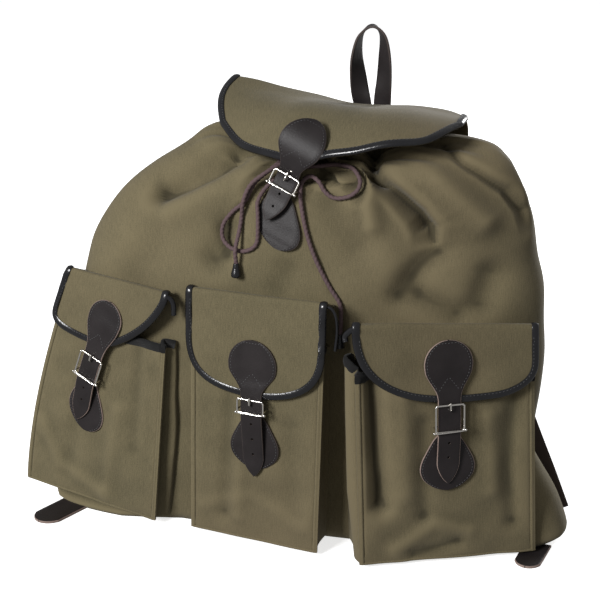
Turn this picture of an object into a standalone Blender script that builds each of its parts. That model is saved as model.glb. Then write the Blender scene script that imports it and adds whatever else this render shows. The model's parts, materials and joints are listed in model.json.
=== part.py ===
"""Hunting rucksack in olive canvas and dark leather, modelled piece by piece.

The bag stands on the floor at Z = 0. X runs to its right, -Y is the front with the three pockets, and +Y is
the side worn against the back. Every table is in millimetres, and MM turns it into metres.
"""

import math
from types import SimpleNamespace

import bmesh
import bpy
from mathutils import Vector
from mathutils.bvhtree import BVHTree

MM = 0.001
CANVAS = 2.0
FLAP_CANVAS = 1.8
LEATHER = 2.0
GAP = 0.4
BINDING_GAP = 0.6
WIRE = 1.2
PRONG = 0.8
TAB = 2.6
UP = Vector((0, 0, 1))
BACK = Vector((0, 1, 0))


def table(columns, *rows):
    return [SimpleNamespace(**dict(zip(columns, row))) for row in rows]


# Body: one section for each row, a superellipse about (middle, SECTION_Y) with its own front and back depth.
# skew turns a section a little, tilt raises its back, and saddle raises its two ends.
SECTION_Y = 15.0
FRONT_COLUMNS = 24
BACK_COLUMNS = 8
BODY_ROWS = table(
    ("z", "middle", "half", "front", "back", "skew", "tilt", "saddle", "round"),
    (0, 4, 229, 44, 46, 0.13, 0, 0, 2.6),
    (6, 7, 263, 53, 56, 0.13, 0, 0, 2.6),
    (16, 7, 273, 57, 62, 0.13, 0, 0, 2.5),
    (46, 2, 267, 60, 70, 0.13, 0, 0, 2.4),
    (75, -5, 258, 62, 73, 0.13, 0, 0, 2.3),
    (99, -6, 248, 64, 75, 0.13, 0, 0, 2.3),
    (130, -3, 245, 66, 76, 0.13, 0, 0, 2.3),
    (180, 6, 241, 71, 78, 0.13, 0, 0, 2.3),
    (262, 13, 231, 79, 76, 0.13, 0, 0, 2.2),
    (300, 15, 222, 78, 72, 0.12, 0.02, 2, 2.2),
    (334, 24, 206, 73, 66, 0.11, 0.06, 5, 2.2),
    (360, 35, 183, 67, 58, 0.10, 0.10, 9, 2.2),
    (379, 47, 160, 60, 50, 0.09, 0.14, 13, 2.2),
    (389, 47, 140, 53, 45, 0.08, 0.19, 16, 2.2),
    (393, 37, 108, 45, 42, 0.06, 0.26, 14, 2.1),
    (393, 27, 50, 30, 33, 0, 0.33, 2, 2.0),
    (409, 26, 54, 32, 36, 0, 0.33, 0, 2.0),
)

# Gathers round the mouth: GATHERS pleats, whose depth fades over the rows below the neck.
GATHERS = 8
GATHER_DEPTH_FROM_TOP = (6.0, 4.0, 3.5, 2.0, 0.8)

# Folds of the body's front, as lines in the front view: a ridge stands out by depth, a valley lies in by it.
BODY_FOLDS = table(
    ("name", "x_top", "z_top", "x_low", "z_low", "depth", "width"),
    ("valley under the lid", 100, 398, 150, 342, -14, 18),
    ("ridge beside it", 124, 405, 196, 356, 7, 15),
    ("crease to the right side", 166, 410, 226, 350, -6, 14),
    ("right edge roll", 190, 412, 240, 330, 4, 14),
    ("hollow left of the cord", -42, 322, -52, 296, -8, 16),
    ("dent right of the closure", 84, 320, 62, 352, -5, 18),
    ("soft roll below the lid", 62, 378, 118, 300, 5, 20),
    ("dent by the right side", 160, 310, 140, 290, -5, 20),
    ("left shoulder crease", -40, 392, -118, 350, -6, 16),
    ("left shoulder roll", -30, 372, -105, 334, 4, 16),
    ("lower right ear", 232, 92, 214, 128, -9, 15),
)

# Pockets: the four corners of each front panel, from its lower edge to the top of its flap. rim is the height of
# the pocket's mouth as a part of that, and belly is how far the left edge bulges.
PANELS = table(
    ("name", "low_left", "low_right", "top_left", "top_right", "rim", "belly"),
    ("left", (-287, -52, 16), (-122, -78, 8), (-216, -56, 264), (-97, -80, 259), 0.775, 10),
    ("centre", (-80, -70, 5), (56, -74, 4), (-72, -73, 266), (66, -79, 267), 0.80, 0),
    ("right", (108, -82, 5), (256, 10, 5), (101, -88, 255), (244, 2, 244), 0.79, 0),
)
# The plan directions in which each pocket's two bellows run to the body, how far they square up towards the top,
# and the point of the rim at which the mouth tape starts.
BELLOWS = table(
    ("back_left", "back_right", "turn", "tape_from"),
    ((0.72, 0.69), (0.16, 0.98), 0.5, 3),
    ((0.10, 0.99), (-0.10, 0.99), 0, 0),
    ((-0.52, 0.85), (-0.52, 0.85), 0, 0),
)
POCKETS = [SimpleNamespace(**vars(panel), **vars(bellows)) for panel, bellows in zip(PANELS, BELLOWS)]
POCKET_CROWN = 3.0
POCKET_ROWS = 5
BELLOWS_PINCH = 5.0
BELLOWS_HALF = 1.8
CORNER_CUT = 2.5
FLAP_OVERHANG = 4.0
FLAP_STANDOFF = 5.8
FLAP_FALL_TO_BODY = 0.32
FLAP_SQUARE = 0.5
FLAP_FOLD = ((6.0, -0.6), (2.2, 0.4), (0.4, -1.6))
FLAP_COLUMNS = 10
FLAP_FACE_ROWS = 2

# Flaps: how far each one's lower edge hangs at its middle and its two ends, and how full its two corners are.
FLAPS = table(
    ("drop", "drop_left", "drop_right", "round_left", "round_right"),
    (70, 42, 6, 2.6, 1.35),
    (101, 44, 46, 2.6, 2.6),
    (76, 6, 34, 2.4, 2.6),
)

# Closures: where each buckle's top bar sits on its panel, and the sizes of its strap and catch.
# across runs from the panel's left to its right, bar is the height of the top bar, and lean turns it to the left.
# sway turns the catch back to the right.
CLOSURES = table(
    ("name", "across", "bar", "lean", "frame", "head", "head_half", "tail", "catch", "catch_half", "sway"),
    ("left", 0.44, 182, 21, 26, 64, 20, 58, 66, 23, 0.17),
    ("centre", 0.51, 163, 1, 13, 60, 25.5, 74, 66, 26, 0),
    ("right", 0.50, 177, -2, 26, 63, 23.5, 60, 68, 27, 0),
)
LID_CLOSURE = SimpleNamespace(
    x=20.5, bar=377, lean=24, frame=13, head=56, head_half=22.5, tail=37, catch=58, catch_half=25, sway=0.36
)
LID_CLOSURE_NORMAL = Vector((0.02, -0.985, 0.17)).normalized()
# Each row of the catch gives how far down from the heel bar it lies and its half width, as parts of the whole.
CATCH_PLATE = ((1, 0.15), (0.935, 0.54), (0.82, 0.87), (0.69, 1), (0.55, 0.96), (0.39, 0.77), (0.22, 0.52))
NECK_HALF = 8.0
NECK_END = 7.0
STRAP_HALF = 11.2
FRAME_MARGIN = 2.5
SLOT_HALF = 1.9
HEEL_HEIGHT = 4.2

# Lid: stations from its left end to its right. The back ridge runs at LID_BACK_Y, and rise is its crown.
LID_BACK_Y = 60.0
LID_TAIL_Z = 398.0
LID_ROWS = 5
LID_COLUMNS = 12
LID_STATIONS = table(
    ("x_back", "z_back", "x_front", "y_front", "z_front", "rise", "bulge"),
    (-85, 450, -72, -2, 412, 2, 9),
    (-62, 448, -42, -27, 399, 8, 5),
    (-30, 442, -6, -44, 394, 15, 1),
    (4, 437, 28, -54, 393, 22, 0),
    (40, 431, 64, -58, 402, 20, 0),
    (80, 431, 98, -56, 410, 16, 0),
    (112, 432, 127, -48, 415, 12, 0),
    (139, 430, 152, -34, 420, 7, 0),
    (158, 424, 168, 8, 428, 2, -2),
)

# Hanging loop: turn is 0 where the strip faces the front and 90 where it is edge-on.
LOOP_WIDTH = 18.0
LOOP_THICKNESS = 2.4
LOOP_FREE_Z = 432.0
LOOP_FREE_Y = 66.0
LOOP_STATIONS = table(
    ("x", "z", "turn"),
    (50, 374, 0),
    (50, 402, 0),
    (49.5, 428, 8),
    (46, 450, 40),
    (43.5, 474, 72),
    (46, 493, 92),
    (52, 502, 104),
    (59, 505, 112),
    (66, 502, 120),
    (71, 493, 130),
    (72.5, 474, 148),
    (72, 450, 162),
    (69.5, 428, 176),
    (69.5, 402, 180),
    (69.5, 374, 180),
)

# Back: the leather patch below the lid and the shoulder straps, each from its upper end to its buckle.
PATCH_X = 60.0
PATCH_Z = 366.0
PATCH_OUTLINE = ((-26, 38), (-10, 40), (10, 40), (26, 30))
SHOULDER_FRAME = 26
SHOULDER_BOW = 12.0
LOWER_STRAP_HALF = 10.0
SHOULDER_STRAPS = table(
    ("name", "x_top", "z_top", "x_buckle", "z_buckle", "lower", "sway"),
    ("left", 38, 352, -184, 152, 108, -0.25),
    ("right", 86, 350, 202, 160, 154, 0.12),
)
CORNER_TABS = table(
    ("name", "root", "tip", "half"),
    ("left", (-219.3, -41.5), (-238, -114), 17),
    ("right", (257, 32), (255, -20), 13),
)

# Cords: a smooth line through each row of points in the front view, laid on what is behind it.
# The right cord comes out from under the lid on the left, makes both loops of the bow and hangs down on the right.
CORD_RADIUS = 2.0
CORD_SAMPLES = 1.5
CORD_GAP = 1.5
BEAD_SHAPE = ((0, 2.7), (4, 3.3), (10, 4.8), (12.5, 4.6), (14, 3.0))
LEFT_CORD = table(
    ("x", "z"),
    (17, 396),
    (6, 386),
    (-6, 378),
    (-17, 368),
    (-23, 353),
    (-26, 334),
    (-27, 313),
    (-27, 293),
)
RIGHT_CORD = table(
    ("x", "z"),
    (9, 394),
    (-3, 381),
    (-15, 369),
    (-23, 352),
    (-36, 340),
    (-45, 327),
    (-45, 314),
    (-35, 306),
    (-20, 305),
    (-9, 312),
    (-7, 326),
    (-8, 341),
    (-9, 353),
    (-3, 366),
    (11, 378),
    (27, 384),
    (43, 386),
    (60, 386),
    (75, 385),
    (85, 378),
    (85, 369),
    (76, 362),
    (63, 360),
    (54, 365),
    (47, 374),
    (38, 378),
    (31, 372),
    (31, 360),
    (35, 343),
    (41, 323),
    (51, 300),
    (63, 277),
    (73, 261),
    (74.5, 246),
    (74, 230),
)


def spline(rows, column, place):
    """Value of one table column at a place from 0 to 1, on a smooth curve through the rows."""
    values = [getattr(row, column) for row in rows]
    last = len(values) - 1
    scaled = min(max(place, 0.0), 1.0) * last
    i = min(int(scaled), last - 1)
    t = scaled - i
    before, a, b, after = values[max(i - 1, 0)], values[i], values[i + 1], values[min(i + 2, last)]
    return a + 0.5 * t * (b - before + t * (2 * before - 5 * a + 4 * b - after + t * (3 * (a - b) + after - before)))


def clear_scene():
    for obj in list(bpy.data.objects):
        bpy.data.objects.remove(obj, do_unlink=True)


def material(name, colour, roughness, metallic=0.0):
    finish = bpy.data.materials.new(name)
    finish.use_nodes = True
    shader = finish.node_tree.nodes["Principled BSDF"]
    shader.inputs["Base Color"].default_value = (*colour, 1.0)
    shader.inputs["Roughness"].default_value = roughness
    shader.inputs["Metallic"].default_value = metallic
    finish.diffuse_color = (*colour, 1.0)
    return finish


def add_mesh(name, points, faces, finish, smooth=True):
    mesh = bpy.data.meshes.new(name)
    mesh.from_pydata([Vector(p) * MM for p in points], [], faces)
    mesh.materials.append(finish)
    if smooth:
        mesh.shade_smooth()
        mesh.set_sharp_from_angle(angle=math.radians(40))
    obj = bpy.data.objects.new(name, mesh)
    bpy.context.scene.collection.objects.link(obj)
    return obj


def turn_outward(obj):
    """Makes the faces of a closed mesh point out of it."""
    work = bmesh.new()
    work.from_mesh(obj.data)
    bmesh.ops.recalc_face_normals(work, faces=work.faces)
    work.to_mesh(obj.data)
    work.free()


def thicken(obj, thickness, offset=0.0, even=True):
    solidify = obj.modifiers.new("Thickness", "SOLIDIFY")
    solidify.thickness = thickness * MM
    solidify.offset = offset
    solidify.use_even_offset = even


def sheet(name, grid, thickness, finish, missing=()):
    """A wall of cloth or leather about a grid of points, without the cells (row, column) in missing."""
    width = len(grid[0])
    faces = []
    for r in range(len(grid) - 1):
        for c in range(width - 1):
            if (r, c) not in missing:
                a = r * width + c
                faces.append((a, a + 1, a + width + 1, a + width))
    obj = add_mesh(name, [p for row in grid for p in row], faces, finish)
    thicken(obj, thickness)
    return obj


def grid_normals(obj, width):
    normals = [v.normal.copy() for v in obj.data.vertices]
    return [normals[i : i + width] for i in range(0, len(normals), width)]


def sweep(name, stations, profile, finish, closed=False):
    """A closed bar: the profile's (u, v) points are set out at each station (origin, u axis, v axis)."""
    sides = len(profile)
    points = [origin + u * x + v * y for origin, u, v in stations for x, y in profile]
    count = len(stations)
    faces = []
    for i in range(count if closed else count - 1):
        a, b = i * sides, (i + 1) % count * sides
        faces += [(a + k, a + (k + 1) % sides, b + (k + 1) % sides, b + k) for k in range(sides)]
    if not closed:
        faces.append(tuple(range(sides - 1, -1, -1)))
        faces.append(tuple(range((count - 1) * sides, count * sides)))
    obj = add_mesh(name, points, faces, finish)
    turn_outward(obj)
    return obj


def round_profile(radius, sides):
    return [
        (radius * math.cos(2 * math.pi * k / sides), radius * math.sin(2 * math.pi * k / sides)) for k in range(sides)
    ]


def wire_stations(points, side, closed=False):
    """Stations of a wire through the points, each cut across the bend. side is roughly across the wire's plane."""
    stations = []
    count = len(points)
    for i, point in enumerate(points):
        before = points[i - 1] if closed or i else point
        after = points[(i + 1) % count] if closed or i < count - 1 else point
        into = (point - before).normalized() if (point - before).length else (after - point).normalized()
        out = (after - point).normalized() if (after - point).length else into
        along = (into + out).normalized()
        v = (side - along * side.dot(along)).normalized()
        u = along.cross(v)
        stretch = 1 / max(0.7, into.dot(along))
        stations.append((point, u * stretch, v))
    return stations


def surface_of(*objects):
    """A search tree, in millimetres, over the finished surfaces of the objects."""
    bpy.context.view_layer.update()
    graph = bpy.context.evaluated_depsgraph_get()
    points, faces = [], []
    for obj in objects:
        evaluated = obj.evaluated_get(graph)
        mesh = evaluated.to_mesh()
        start = len(points)
        points += [obj.matrix_world @ v.co / MM for v in mesh.vertices]
        faces += [tuple(start + i for i in polygon.vertices) for polygon in mesh.polygons]
        evaluated.to_mesh_clear()
    return BVHTree.FromPolygons(points, faces)


def reach(surface, start, direction, around=(Vector((0, 0, 0)),)):
    """How far a point can go in a direction and stay clear of a surface, also at the places around it."""
    found = []
    for shift in around:
        distance = surface.ray_cast(start + shift, direction)[3]
        if distance is not None:
            found.append(distance)
    if not found:
        raise ValueError(f"nothing lies in the direction {direction[:]} from {start[:]}")
    return min(found) - GAP


def clear_of(surface, point, distance):
    """The point, moved out from the nearest place of a surface until it is that far off."""
    for _ in range(4):
        nearest, normal, _, gap = surface.find_nearest(point)
        away = point - nearest
        outside = away.dot(normal) > 0
        if gap < distance or not outside:
            point = nearest + (away if outside else normal).normalized() * distance
    return point


def body_point(row, angle):
    depth = row.back if math.sin(angle) > 0 else row.front
    power = 2 / row.round
    across = math.copysign(abs(math.cos(angle)) ** power, math.cos(angle))
    along = math.copysign(abs(math.sin(angle)) ** power, math.sin(angle))
    x = row.middle + row.half * across
    y = SECTION_Y + row.skew * x + depth * along
    return Vector((x, y, row.z + row.tilt * depth * along + row.saddle * across * across))


def fold_depth(point):
    """How far the folds push a point of the front out or in."""
    total = 0.0
    for fold in BODY_FOLDS:
        top = Vector((fold.x_top, fold.z_top))
        line = Vector((fold.x_low, fold.z_low)) - top
        place = Vector((point.x, point.z)) - top
        t = min(max(place.dot(line) / line.length_squared, 0.0), 1.0)
        total += fold.depth * math.exp(-(((place - line * t).length / fold.width) ** 2))
    return total


def make_body(finish):
    angles = [math.pi * i / BACK_COLUMNS for i in range(BACK_COLUMNS)]
    angles += [math.pi * (1 + i / FRONT_COLUMNS) for i in range(FRONT_COLUMNS)]
    ring = len(angles)
    points = [body_point(row, angle) for row in BODY_ROWS for angle in angles]
    faces = [tuple(range(ring - 1, -1, -1))]
    for r in range(len(BODY_ROWS) - 1):
        for i in range(ring):
            a, b = r * ring + i, r * ring + (i + 1) % ring
            faces.append((a, b, b + ring, a + ring))
    body = add_mesh("bag_body", points, faces, finish)
    normals = [v.normal.copy() for v in body.data.vertices]
    for i, vertex in enumerate(body.data.vertices):
        row, column = divmod(i, ring)
        from_top = len(BODY_ROWS) - 1 - row
        push = fold_depth(points[i]) * min(max(-2 * normals[i].y, 0.0), 1.0)
        if from_top < len(GATHER_DEPTH_FROM_TOP):
            push = 0.3 * push + GATHER_DEPTH_FROM_TOP[from_top] * math.cos(2 * math.pi * GATHERS * column / ring)
        vertex.co += normals[i] * push * MM
    thicken(body, CANVAS, offset=-1.0, even=False)
    return body


def panel_point(pocket, across, up, out=0.0):
    """A point on a pocket's front panel, across and up from 0 to 1, standing out by some millimetres."""
    low = Vector(pocket.low_left).lerp(Vector(pocket.low_right), across)
    top = Vector(pocket.top_left).lerp(Vector(pocket.top_right), across)
    height = min(max(up, 0.0), 1.0)
    crown = POCKET_CROWN * (1 - (2 * across - 1) ** 2) * math.sin(math.pi * height)
    belly = pocket.belly * max(1 - across, 0.0) ** 2 * math.sin(math.pi * height**0.8)
    return low.lerp(top, up) + panel_normal(pocket) * (crown + out) - (top_edge(pocket)).normalized() * belly


def top_edge(pocket):
    return Vector(pocket.top_right) - Vector(pocket.top_left)


def panel_normal(pocket):
    low = Vector(pocket.low_right) - Vector(pocket.low_left)
    rise = Vector(pocket.top_left) - Vector(pocket.low_left)
    return low.cross(rise).normalized()


def back_direction(pocket, across, up=0.0):
    x, y = Vector(pocket.back_left).lerp(Vector(pocket.back_right), across)
    return Vector((x * (1 - pocket.turn * up), y, 0)).normalized()


def make_pocket(pocket, body_surface, finish):
    """Front panel, two pinched bellows and a floor, as one wall open at the top and towards the body."""
    inward = Vector(pocket.low_right) - Vector(pocket.low_left)
    inward.z = 0
    inward.normalize()
    half_row = UP * (pocket.rim / POCKET_ROWS * 125)
    front_places = [CORNER_CUT / 140, 0.25, 0.5, 0.75, 1 - CORNER_CUT / 140]
    grid = []
    for r in range(POCKET_ROWS + 1):
        up = pocket.rim * r / POCKET_ROWS
        sides = []
        for across, towards in ((0.0, inward), (1.0, -inward)):
            corner = panel_point(pocket, across, up)
            back = back_direction(pocket, across, up)
            heights = [half_row * k for k in (0, 0.3, 0.6, 1)]
            if r:
                heights += [half_row * k for k in (-0.5, -1, -1.4)]
            around = [z + back.cross(UP) * s for z in heights for s in (BELLOWS_HALF, -BELLOWS_HALF)]
            run = reach(body_surface, corner, back, around)
            cut = corner + back * min(CORNER_CUT, run * 0.25)
            end = clear_of(body_surface, corner + back * run, CANVAS / 2 + GAP * 2)
            middle = corner + back * run * 0.5 + towards * min(BELLOWS_PINCH, run * 0.12)
            sides.append((end, clear_of(body_surface, middle, CANVAS + GAP * 2), cut))
        front = [panel_point(pocket, place, up) for place in front_places]
        grid.append([*sides[0], *front, *reversed(sides[1])])
    width = len(grid[0])
    points = [p for row in grid for p in row]
    faces = []
    for r in range(POCKET_ROWS):
        for c in range(width - 1):
            a = r * width + c
            faces.append((a, a + 1, a + width + 1, a + width))
    floor = list(range(width - 1, -1, -1))
    for place in front_places:
        start = panel_point(pocket, place, 0)
        back = back_direction(pocket, place)
        around = [z + s for z in (UP * CANVAS, -UP * 0.5) for s in (inward * 12, -inward * 12, inward * 0)]
        floor.append(len(points))
        points.append(start + back * reach(body_surface, start, back, around))
    faces.append(tuple(floor))
    obj = add_mesh(pocket.name + "_pocket", points, faces, finish)
    thicken(obj, CANVAS, even=False)
    return obj, width


def bind_edge(name, points, normals, inner, leg, wall, slot, finish):
    """A folded strip of leather over the edge of a sheet. inner holds a point inside the sheet for each one."""
    stations = []
    last = len(points) - 1
    for i, point in enumerate(points):
        into = (point - points[max(i - 1, 0)]).normalized()
        onward = (points[min(i + 1, last)] - point).normalized()
        along = (into + onward).normalized()
        normal = (normals[i] - along * normals[i].dot(along)).normalized()
        out = along.cross(normal)
        if out.dot(point - inner[i]) < 0:
            out = -out
        # At a bend the strip is cut on the mitre, so it is longer towards the bend.
        bend = (onward - into).normalized() if 0 < i < last else Vector()
        longer = 1 / max(0.7, into.dot(along)) - 1 if 0 < i < last else 0.0
        out, normal = (axis + bend * axis.dot(bend) * longer for axis in (out, normal))
        stations.append((point, out, normal))
    outer = slot + wall
    half = [(-leg, slot), (-leg, outer), (GAP + wall, outer * 0.8)]
    profile = half + [(x, -y) for x, y in reversed(half)] + [(GAP, -slot), (GAP, slot)]
    return sweep(name, stations, profile, finish)


def bind_mouth(pocket, pocket_obj, width, finish):
    """The dark tape folded over the rim of a pocket."""
    vertices = pocket_obj.data.vertices
    rim = range(POCKET_ROWS * width + pocket.tape_from, (POCKET_ROWS + 1) * width)
    points = [vertices[i].co / MM for i in rim]
    inner = [vertices[i - width].co / MM for i in rim]
    normals = [vertices[i].normal.copy() for i in rim]
    if pocket.tape_from:
        normals[0] = normals[1]
    # The tape stops a little short of the body at both ends.
    points[0] = points[0].lerp(points[1], 0.12)
    points[-1] = points[-1].lerp(points[-2], 0.12)
    slot = CANVAS / 2 + BINDING_GAP
    return bind_edge(pocket.name + "_mouth_binding", points, normals, inner, 9.0, 0.8, slot, finish)


def make_flap(pocket, flap, body_surface, finish):
    """A flap sewn to the body, folded over and hanging in front of the pocket with a round lower edge."""
    spare = FLAP_OVERHANG / top_edge(pocket).length
    height = Vector(pocket.top_left).z - Vector(pocket.low_left).z
    columns = []
    for c in range(FLAP_COLUMNS + 1):
        turn = math.pi * (c / FLAP_COLUMNS - 0.5)
        power = 2 / (flap.round_left if turn < 0 else flap.round_right)
        u = math.copysign(abs(math.sin(turn)) ** power, math.sin(turn))
        side = flap.drop_left if turn < 0 else flap.drop_right
        drop = side + (flap.drop - side) * abs(math.cos(turn)) ** power
        across = 0.5 + u * (0.5 + spare)
        back = back_direction(pocket, min(max(across, 0.0), 1.0)).lerp(BACK, FLAP_SQUARE).normalized()
        crest = panel_point(pocket, across, 1.0, FLAP_STANDOFF)
        to_body = (back - UP * FLAP_FALL_TO_BODY).normalized()
        around = [Vector((x, 0, z)) for x in (-13, -6, 0, 6, 13) for z in (-4, 2)]
        run = reach(body_surface, crest, to_body, around)
        column = [crest + to_body * run, crest + to_body * (8 + (run - 8) * 0.7)]
        column += [crest + back * fold_back + UP * fold_up for fold_back, fold_up in FLAP_FOLD]
        column += [
            panel_point(pocket, across, 1 - (5 + (drop - 5) * k / FLAP_FACE_ROWS) / height, FLAP_STANDOFF)
            for k in range(FLAP_FACE_ROWS + 1)
        ]
        columns.append(column)
    grid = [list(row) for row in zip(*columns)]
    return sheet(pocket.name + "_flap", grid, FLAP_CANVAS, finish), grid


def bind_flap(name, flap, grid, start_row, finish, gap):
    """Leather round the left side, the lower edge and the right side of a flap or lid."""
    width = len(grid[0])
    rows = len(grid)
    normals = grid_normals(flap, width)
    path = [(r, 0) for r in range(start_row, rows)]
    path += [(rows - 1, c) for c in range(1, width - 1)]
    path += [(r, width - 1) for r in range(rows - 1, start_row - 1, -1)]
    inside = [(min(r, rows - 2), min(max(c, 1), width - 2)) for r, c in path]
    points = [grid[r][c] for r, c in path]
    return bind_edge(
        name,
        points,
        [normals[r][c] for r, c in path],
        [grid[r][c] for r, c in inside],
        7.0,
        0.9,
        FLAP_CANVAS / 2 + gap,
        finish,
    )


def make_lid(body_surface, finish):
    """The lid: a tail sewn down the back, a ridge, and a crowned top that drapes over the mouth to the front."""
    columns = []
    for c in range(LID_COLUMNS + 1):
        place = c / LID_COLUMNS
        values = {k: spline(LID_STATIONS, k, place) for k in vars(LID_STATIONS[0])}
        ridge = Vector((values["x_back"], LID_BACK_Y, values["z_back"]))
        front = Vector((values["x_front"], values["y_front"], values["z_front"]))
        behind = Vector((ridge.x, 200, LID_TAIL_Z))
        around = [Vector((x, 0, z)) for x in (-9, 0, 9) for z in (-9, 0, 9)]
        tail = behind - BACK * (reach(body_surface, behind, -BACK, around) - FLAP_CANVAS / 2)
        column = [tail, tail.lerp(ridge, 0.5) + BACK * 3, ridge + BACK * 2 - UP * 5, ridge + BACK * 0.5 - UP * 1.2]
        for r in range(LID_ROWS + 1):
            v = 0.06 + 0.94 * r / LID_ROWS
            lift = values["rise"] * math.sin(math.pi * v**1.4)
            bulge = values["bulge"] * math.sin(math.pi * v)
            column.append(ridge.lerp(front, v) + UP * lift - Vector((bulge, 0, 0)))
        columns.append(column)
    grid = [list(row) for row in zip(*columns)]
    return sheet("lid", grid, FLAP_CANVAS, finish), grid


def closure_frame(origin, normal, lean):
    """Axes of a closure: a across, b down the strap, c out of the panel, with the strap's foot leaning left."""
    down = (-UP + normal * normal.z).normalized()
    right = down.cross(-normal).normalized()
    turn = math.radians(lean)
    b = down * math.cos(turn) - right * math.sin(turn)
    a = b.cross(-normal)
    return SimpleNamespace(origin=origin, a=a, b=b, c=normal)


def placed(frame, a, b, c):
    return frame.origin + frame.a * a + frame.b * b + frame.c * c


def height_over(frame, surface, a, b, spread=3.0):
    """The highest c of a surface near (a, b), seen from outside the panel."""
    found = []
    for da, db in ((0, 0), (-spread, 0), (spread, 0), (0, -spread), (0, spread)):
        distance = surface.ray_cast(placed(frame, a + da, b + db, 60), -frame.c)[3]
        if distance is not None:
            found.append(60 - distance)
    return max(found) if found else None


def across_strip(half):
    return (-half, -SLOT_HALF, SLOT_HALF, half)


def raise_over(frame, surface, length):
    """Moves a closure's origin out, so that nothing of the surface stands in front of it below the buckle."""
    heights = [height_over(frame, surface, a, b) for a in (-15, -8, 0, 8, 15) for b in range(-length, 12, 5)]
    frame.origin = frame.origin + frame.c * (max(height for height in heights if height is not None) + GAP)


def make_catch(name, frame, closure, surface, finish, spread=3.0):
    """The leather plate on the panel, whose neck holds the buckle."""
    plate = [(b * closure.catch, half * closure.catch_half) for b, half in CATCH_PLATE]
    plate.append((NECK_END, NECK_HALF + 1))
    rows = []
    for b, half in plate:
        row = []
        for a in across_strip(half):
            a += closure.sway * max(b - NECK_END, 0)
            row.append(placed(frame, a, b, height_over(frame, surface, a, b, spread) + GAP + LEATHER / 2))
        rows.append(row)
    return fold_round_heel(name, frame, rows, finish)


def make_lower_strap(name, frame, length, sway, surface, finish):
    """A strap pulled straight from the buckle to the lower corner of the back, clear of the body on the way."""
    rows = []
    places = [length * k / 4 for k in (4, 3, 2, 1)] + [NECK_END]
    heights = []
    for b in places:
        beside = sway * (b - NECK_END)
        found = [height_over(frame, surface, a + beside, b, 9.0) for a in (-LOWER_STRAP_HALF, 0, LOWER_STRAP_HALF)]
        heights.append(max(height for height in found if height is not None) + GAP + LEATHER / 2)
    for b, height in zip(places, heights):
        half = NECK_HALF + 1 if b == NECK_END else LOWER_STRAP_HALF
        straight = heights[-1] + (heights[0] - heights[-1]) * (b - NECK_END) / (length - NECK_END)
        beside = sway * (b - NECK_END)
        rows.append([placed(frame, a + beside, b, max(straight, height)) for a in across_strip(half)])
    return fold_round_heel(name, frame, rows, finish)


def fold_round_heel(name, frame, rows, finish):
    """Continues the rows of a strip with a neck round the buckle's heel bar, with a slot for the prong."""
    flat = len(rows)
    eye = WIRE + GAP + LEATHER / 2
    for angle in (200, 250, 300, 350, 40):
        turn = math.radians(angle)
        b, c = eye * math.sin(turn), HEEL_HEIGHT + eye * math.cos(turn)
        rows.append([placed(frame, a, b, c) for a in across_strip(NECK_HALF)])
    rows.append([placed(frame, a, 6.5, HEEL_HEIGHT + 1.8) for a in across_strip(NECK_HALF)])
    slot = {(r, 1) for r in range(flat - 1, len(rows) - 1)}
    return sheet(name, rows, LEATHER, finish, slot)


def hole_end(bar):
    """Where the strap's open hole ends below the buckle's top bar."""
    return min(bar + 10, -3)


def make_strap(name, frame, closure, below, finish):
    """The strap: a round head sewn on the flap, a neck under the buckle's bars, and a tail that ends in a point."""
    bar = 2 - closure.frame
    top = bar - closure.head
    outline = [
        (top, 0.25 * closure.head_half),
        (top + 6, 0.70 * closure.head_half),
        (top + 15, 0.96 * closure.head_half),
        (top + 25, closure.head_half),
        (bar - 29, 0.88 * closure.head_half),
        (bar - 20, 0.68 * closure.head_half),
        (bar - 12, STRAP_HALF + 1.5),
        (bar - 4, STRAP_HALF),
        (bar + 3, STRAP_HALF),
        (hole_end(bar), STRAP_HALF),
        (0, STRAP_HALF),
        (8, STRAP_HALF),
        (closure.tail - 22, STRAP_HALF),
        (closure.tail - 9, STRAP_HALF - 2.5),
        (closure.tail, 2.5),
    ]
    return lay_strap(name, frame, outline, bar, below, finish)


def lay_strap(name, frame, outline, bar, below, finish, bow=0.0):
    """Leather with the outline (b, half width), laid on what is below it and led over the heel bar of a buckle.

    bow lifts the stretch above the bar off what it lies on. Returns the strap, the height of the top bar and the
    height of the prong where it lies behind the strap.
    """
    start = outline[0][0]
    over_heel = HEEL_HEIGHT + WIRE + LEATHER * 1.5 + GAP * 2
    rows = []
    for b, half in outline:
        lifts = [height_over(frame, below, a, b, 6.5) for a in (-half, -half / 2, 0, half / 2, half)]
        rest = max([lift for lift in lifts if lift is not None], default=0) + GAP + LEATHER / 2
        if b > bar - 6:
            fade = min(max((b - 8) / 30, 0.0), 1.0)
            rest = max(rest, over_heel * (1 - fade) + rest * fade)
        else:
            rest += bow * math.sin(math.pi * min((b - start) / (bar - 30 - start), 1.0))
        rows.append([placed(frame, a, b, rest) for a in across_strip(half)])
    bar_row = [b for b, _ in outline].index(bar + 3)
    obj = sheet(name, rows, LEATHER, finish, {(bar_row, 1)})
    heights = [(row[1] - frame.origin).dot(frame.c) for row in rows]
    bar_height = max(heights[bar_row - 1 : bar_row + 1]) + LEATHER / 2 + GAP + WIRE
    prong_height = min(heights[bar_row : bar_row + 3]) - LEATHER / 2 - GAP - PRONG
    return obj, bar_height, prong_height


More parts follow.
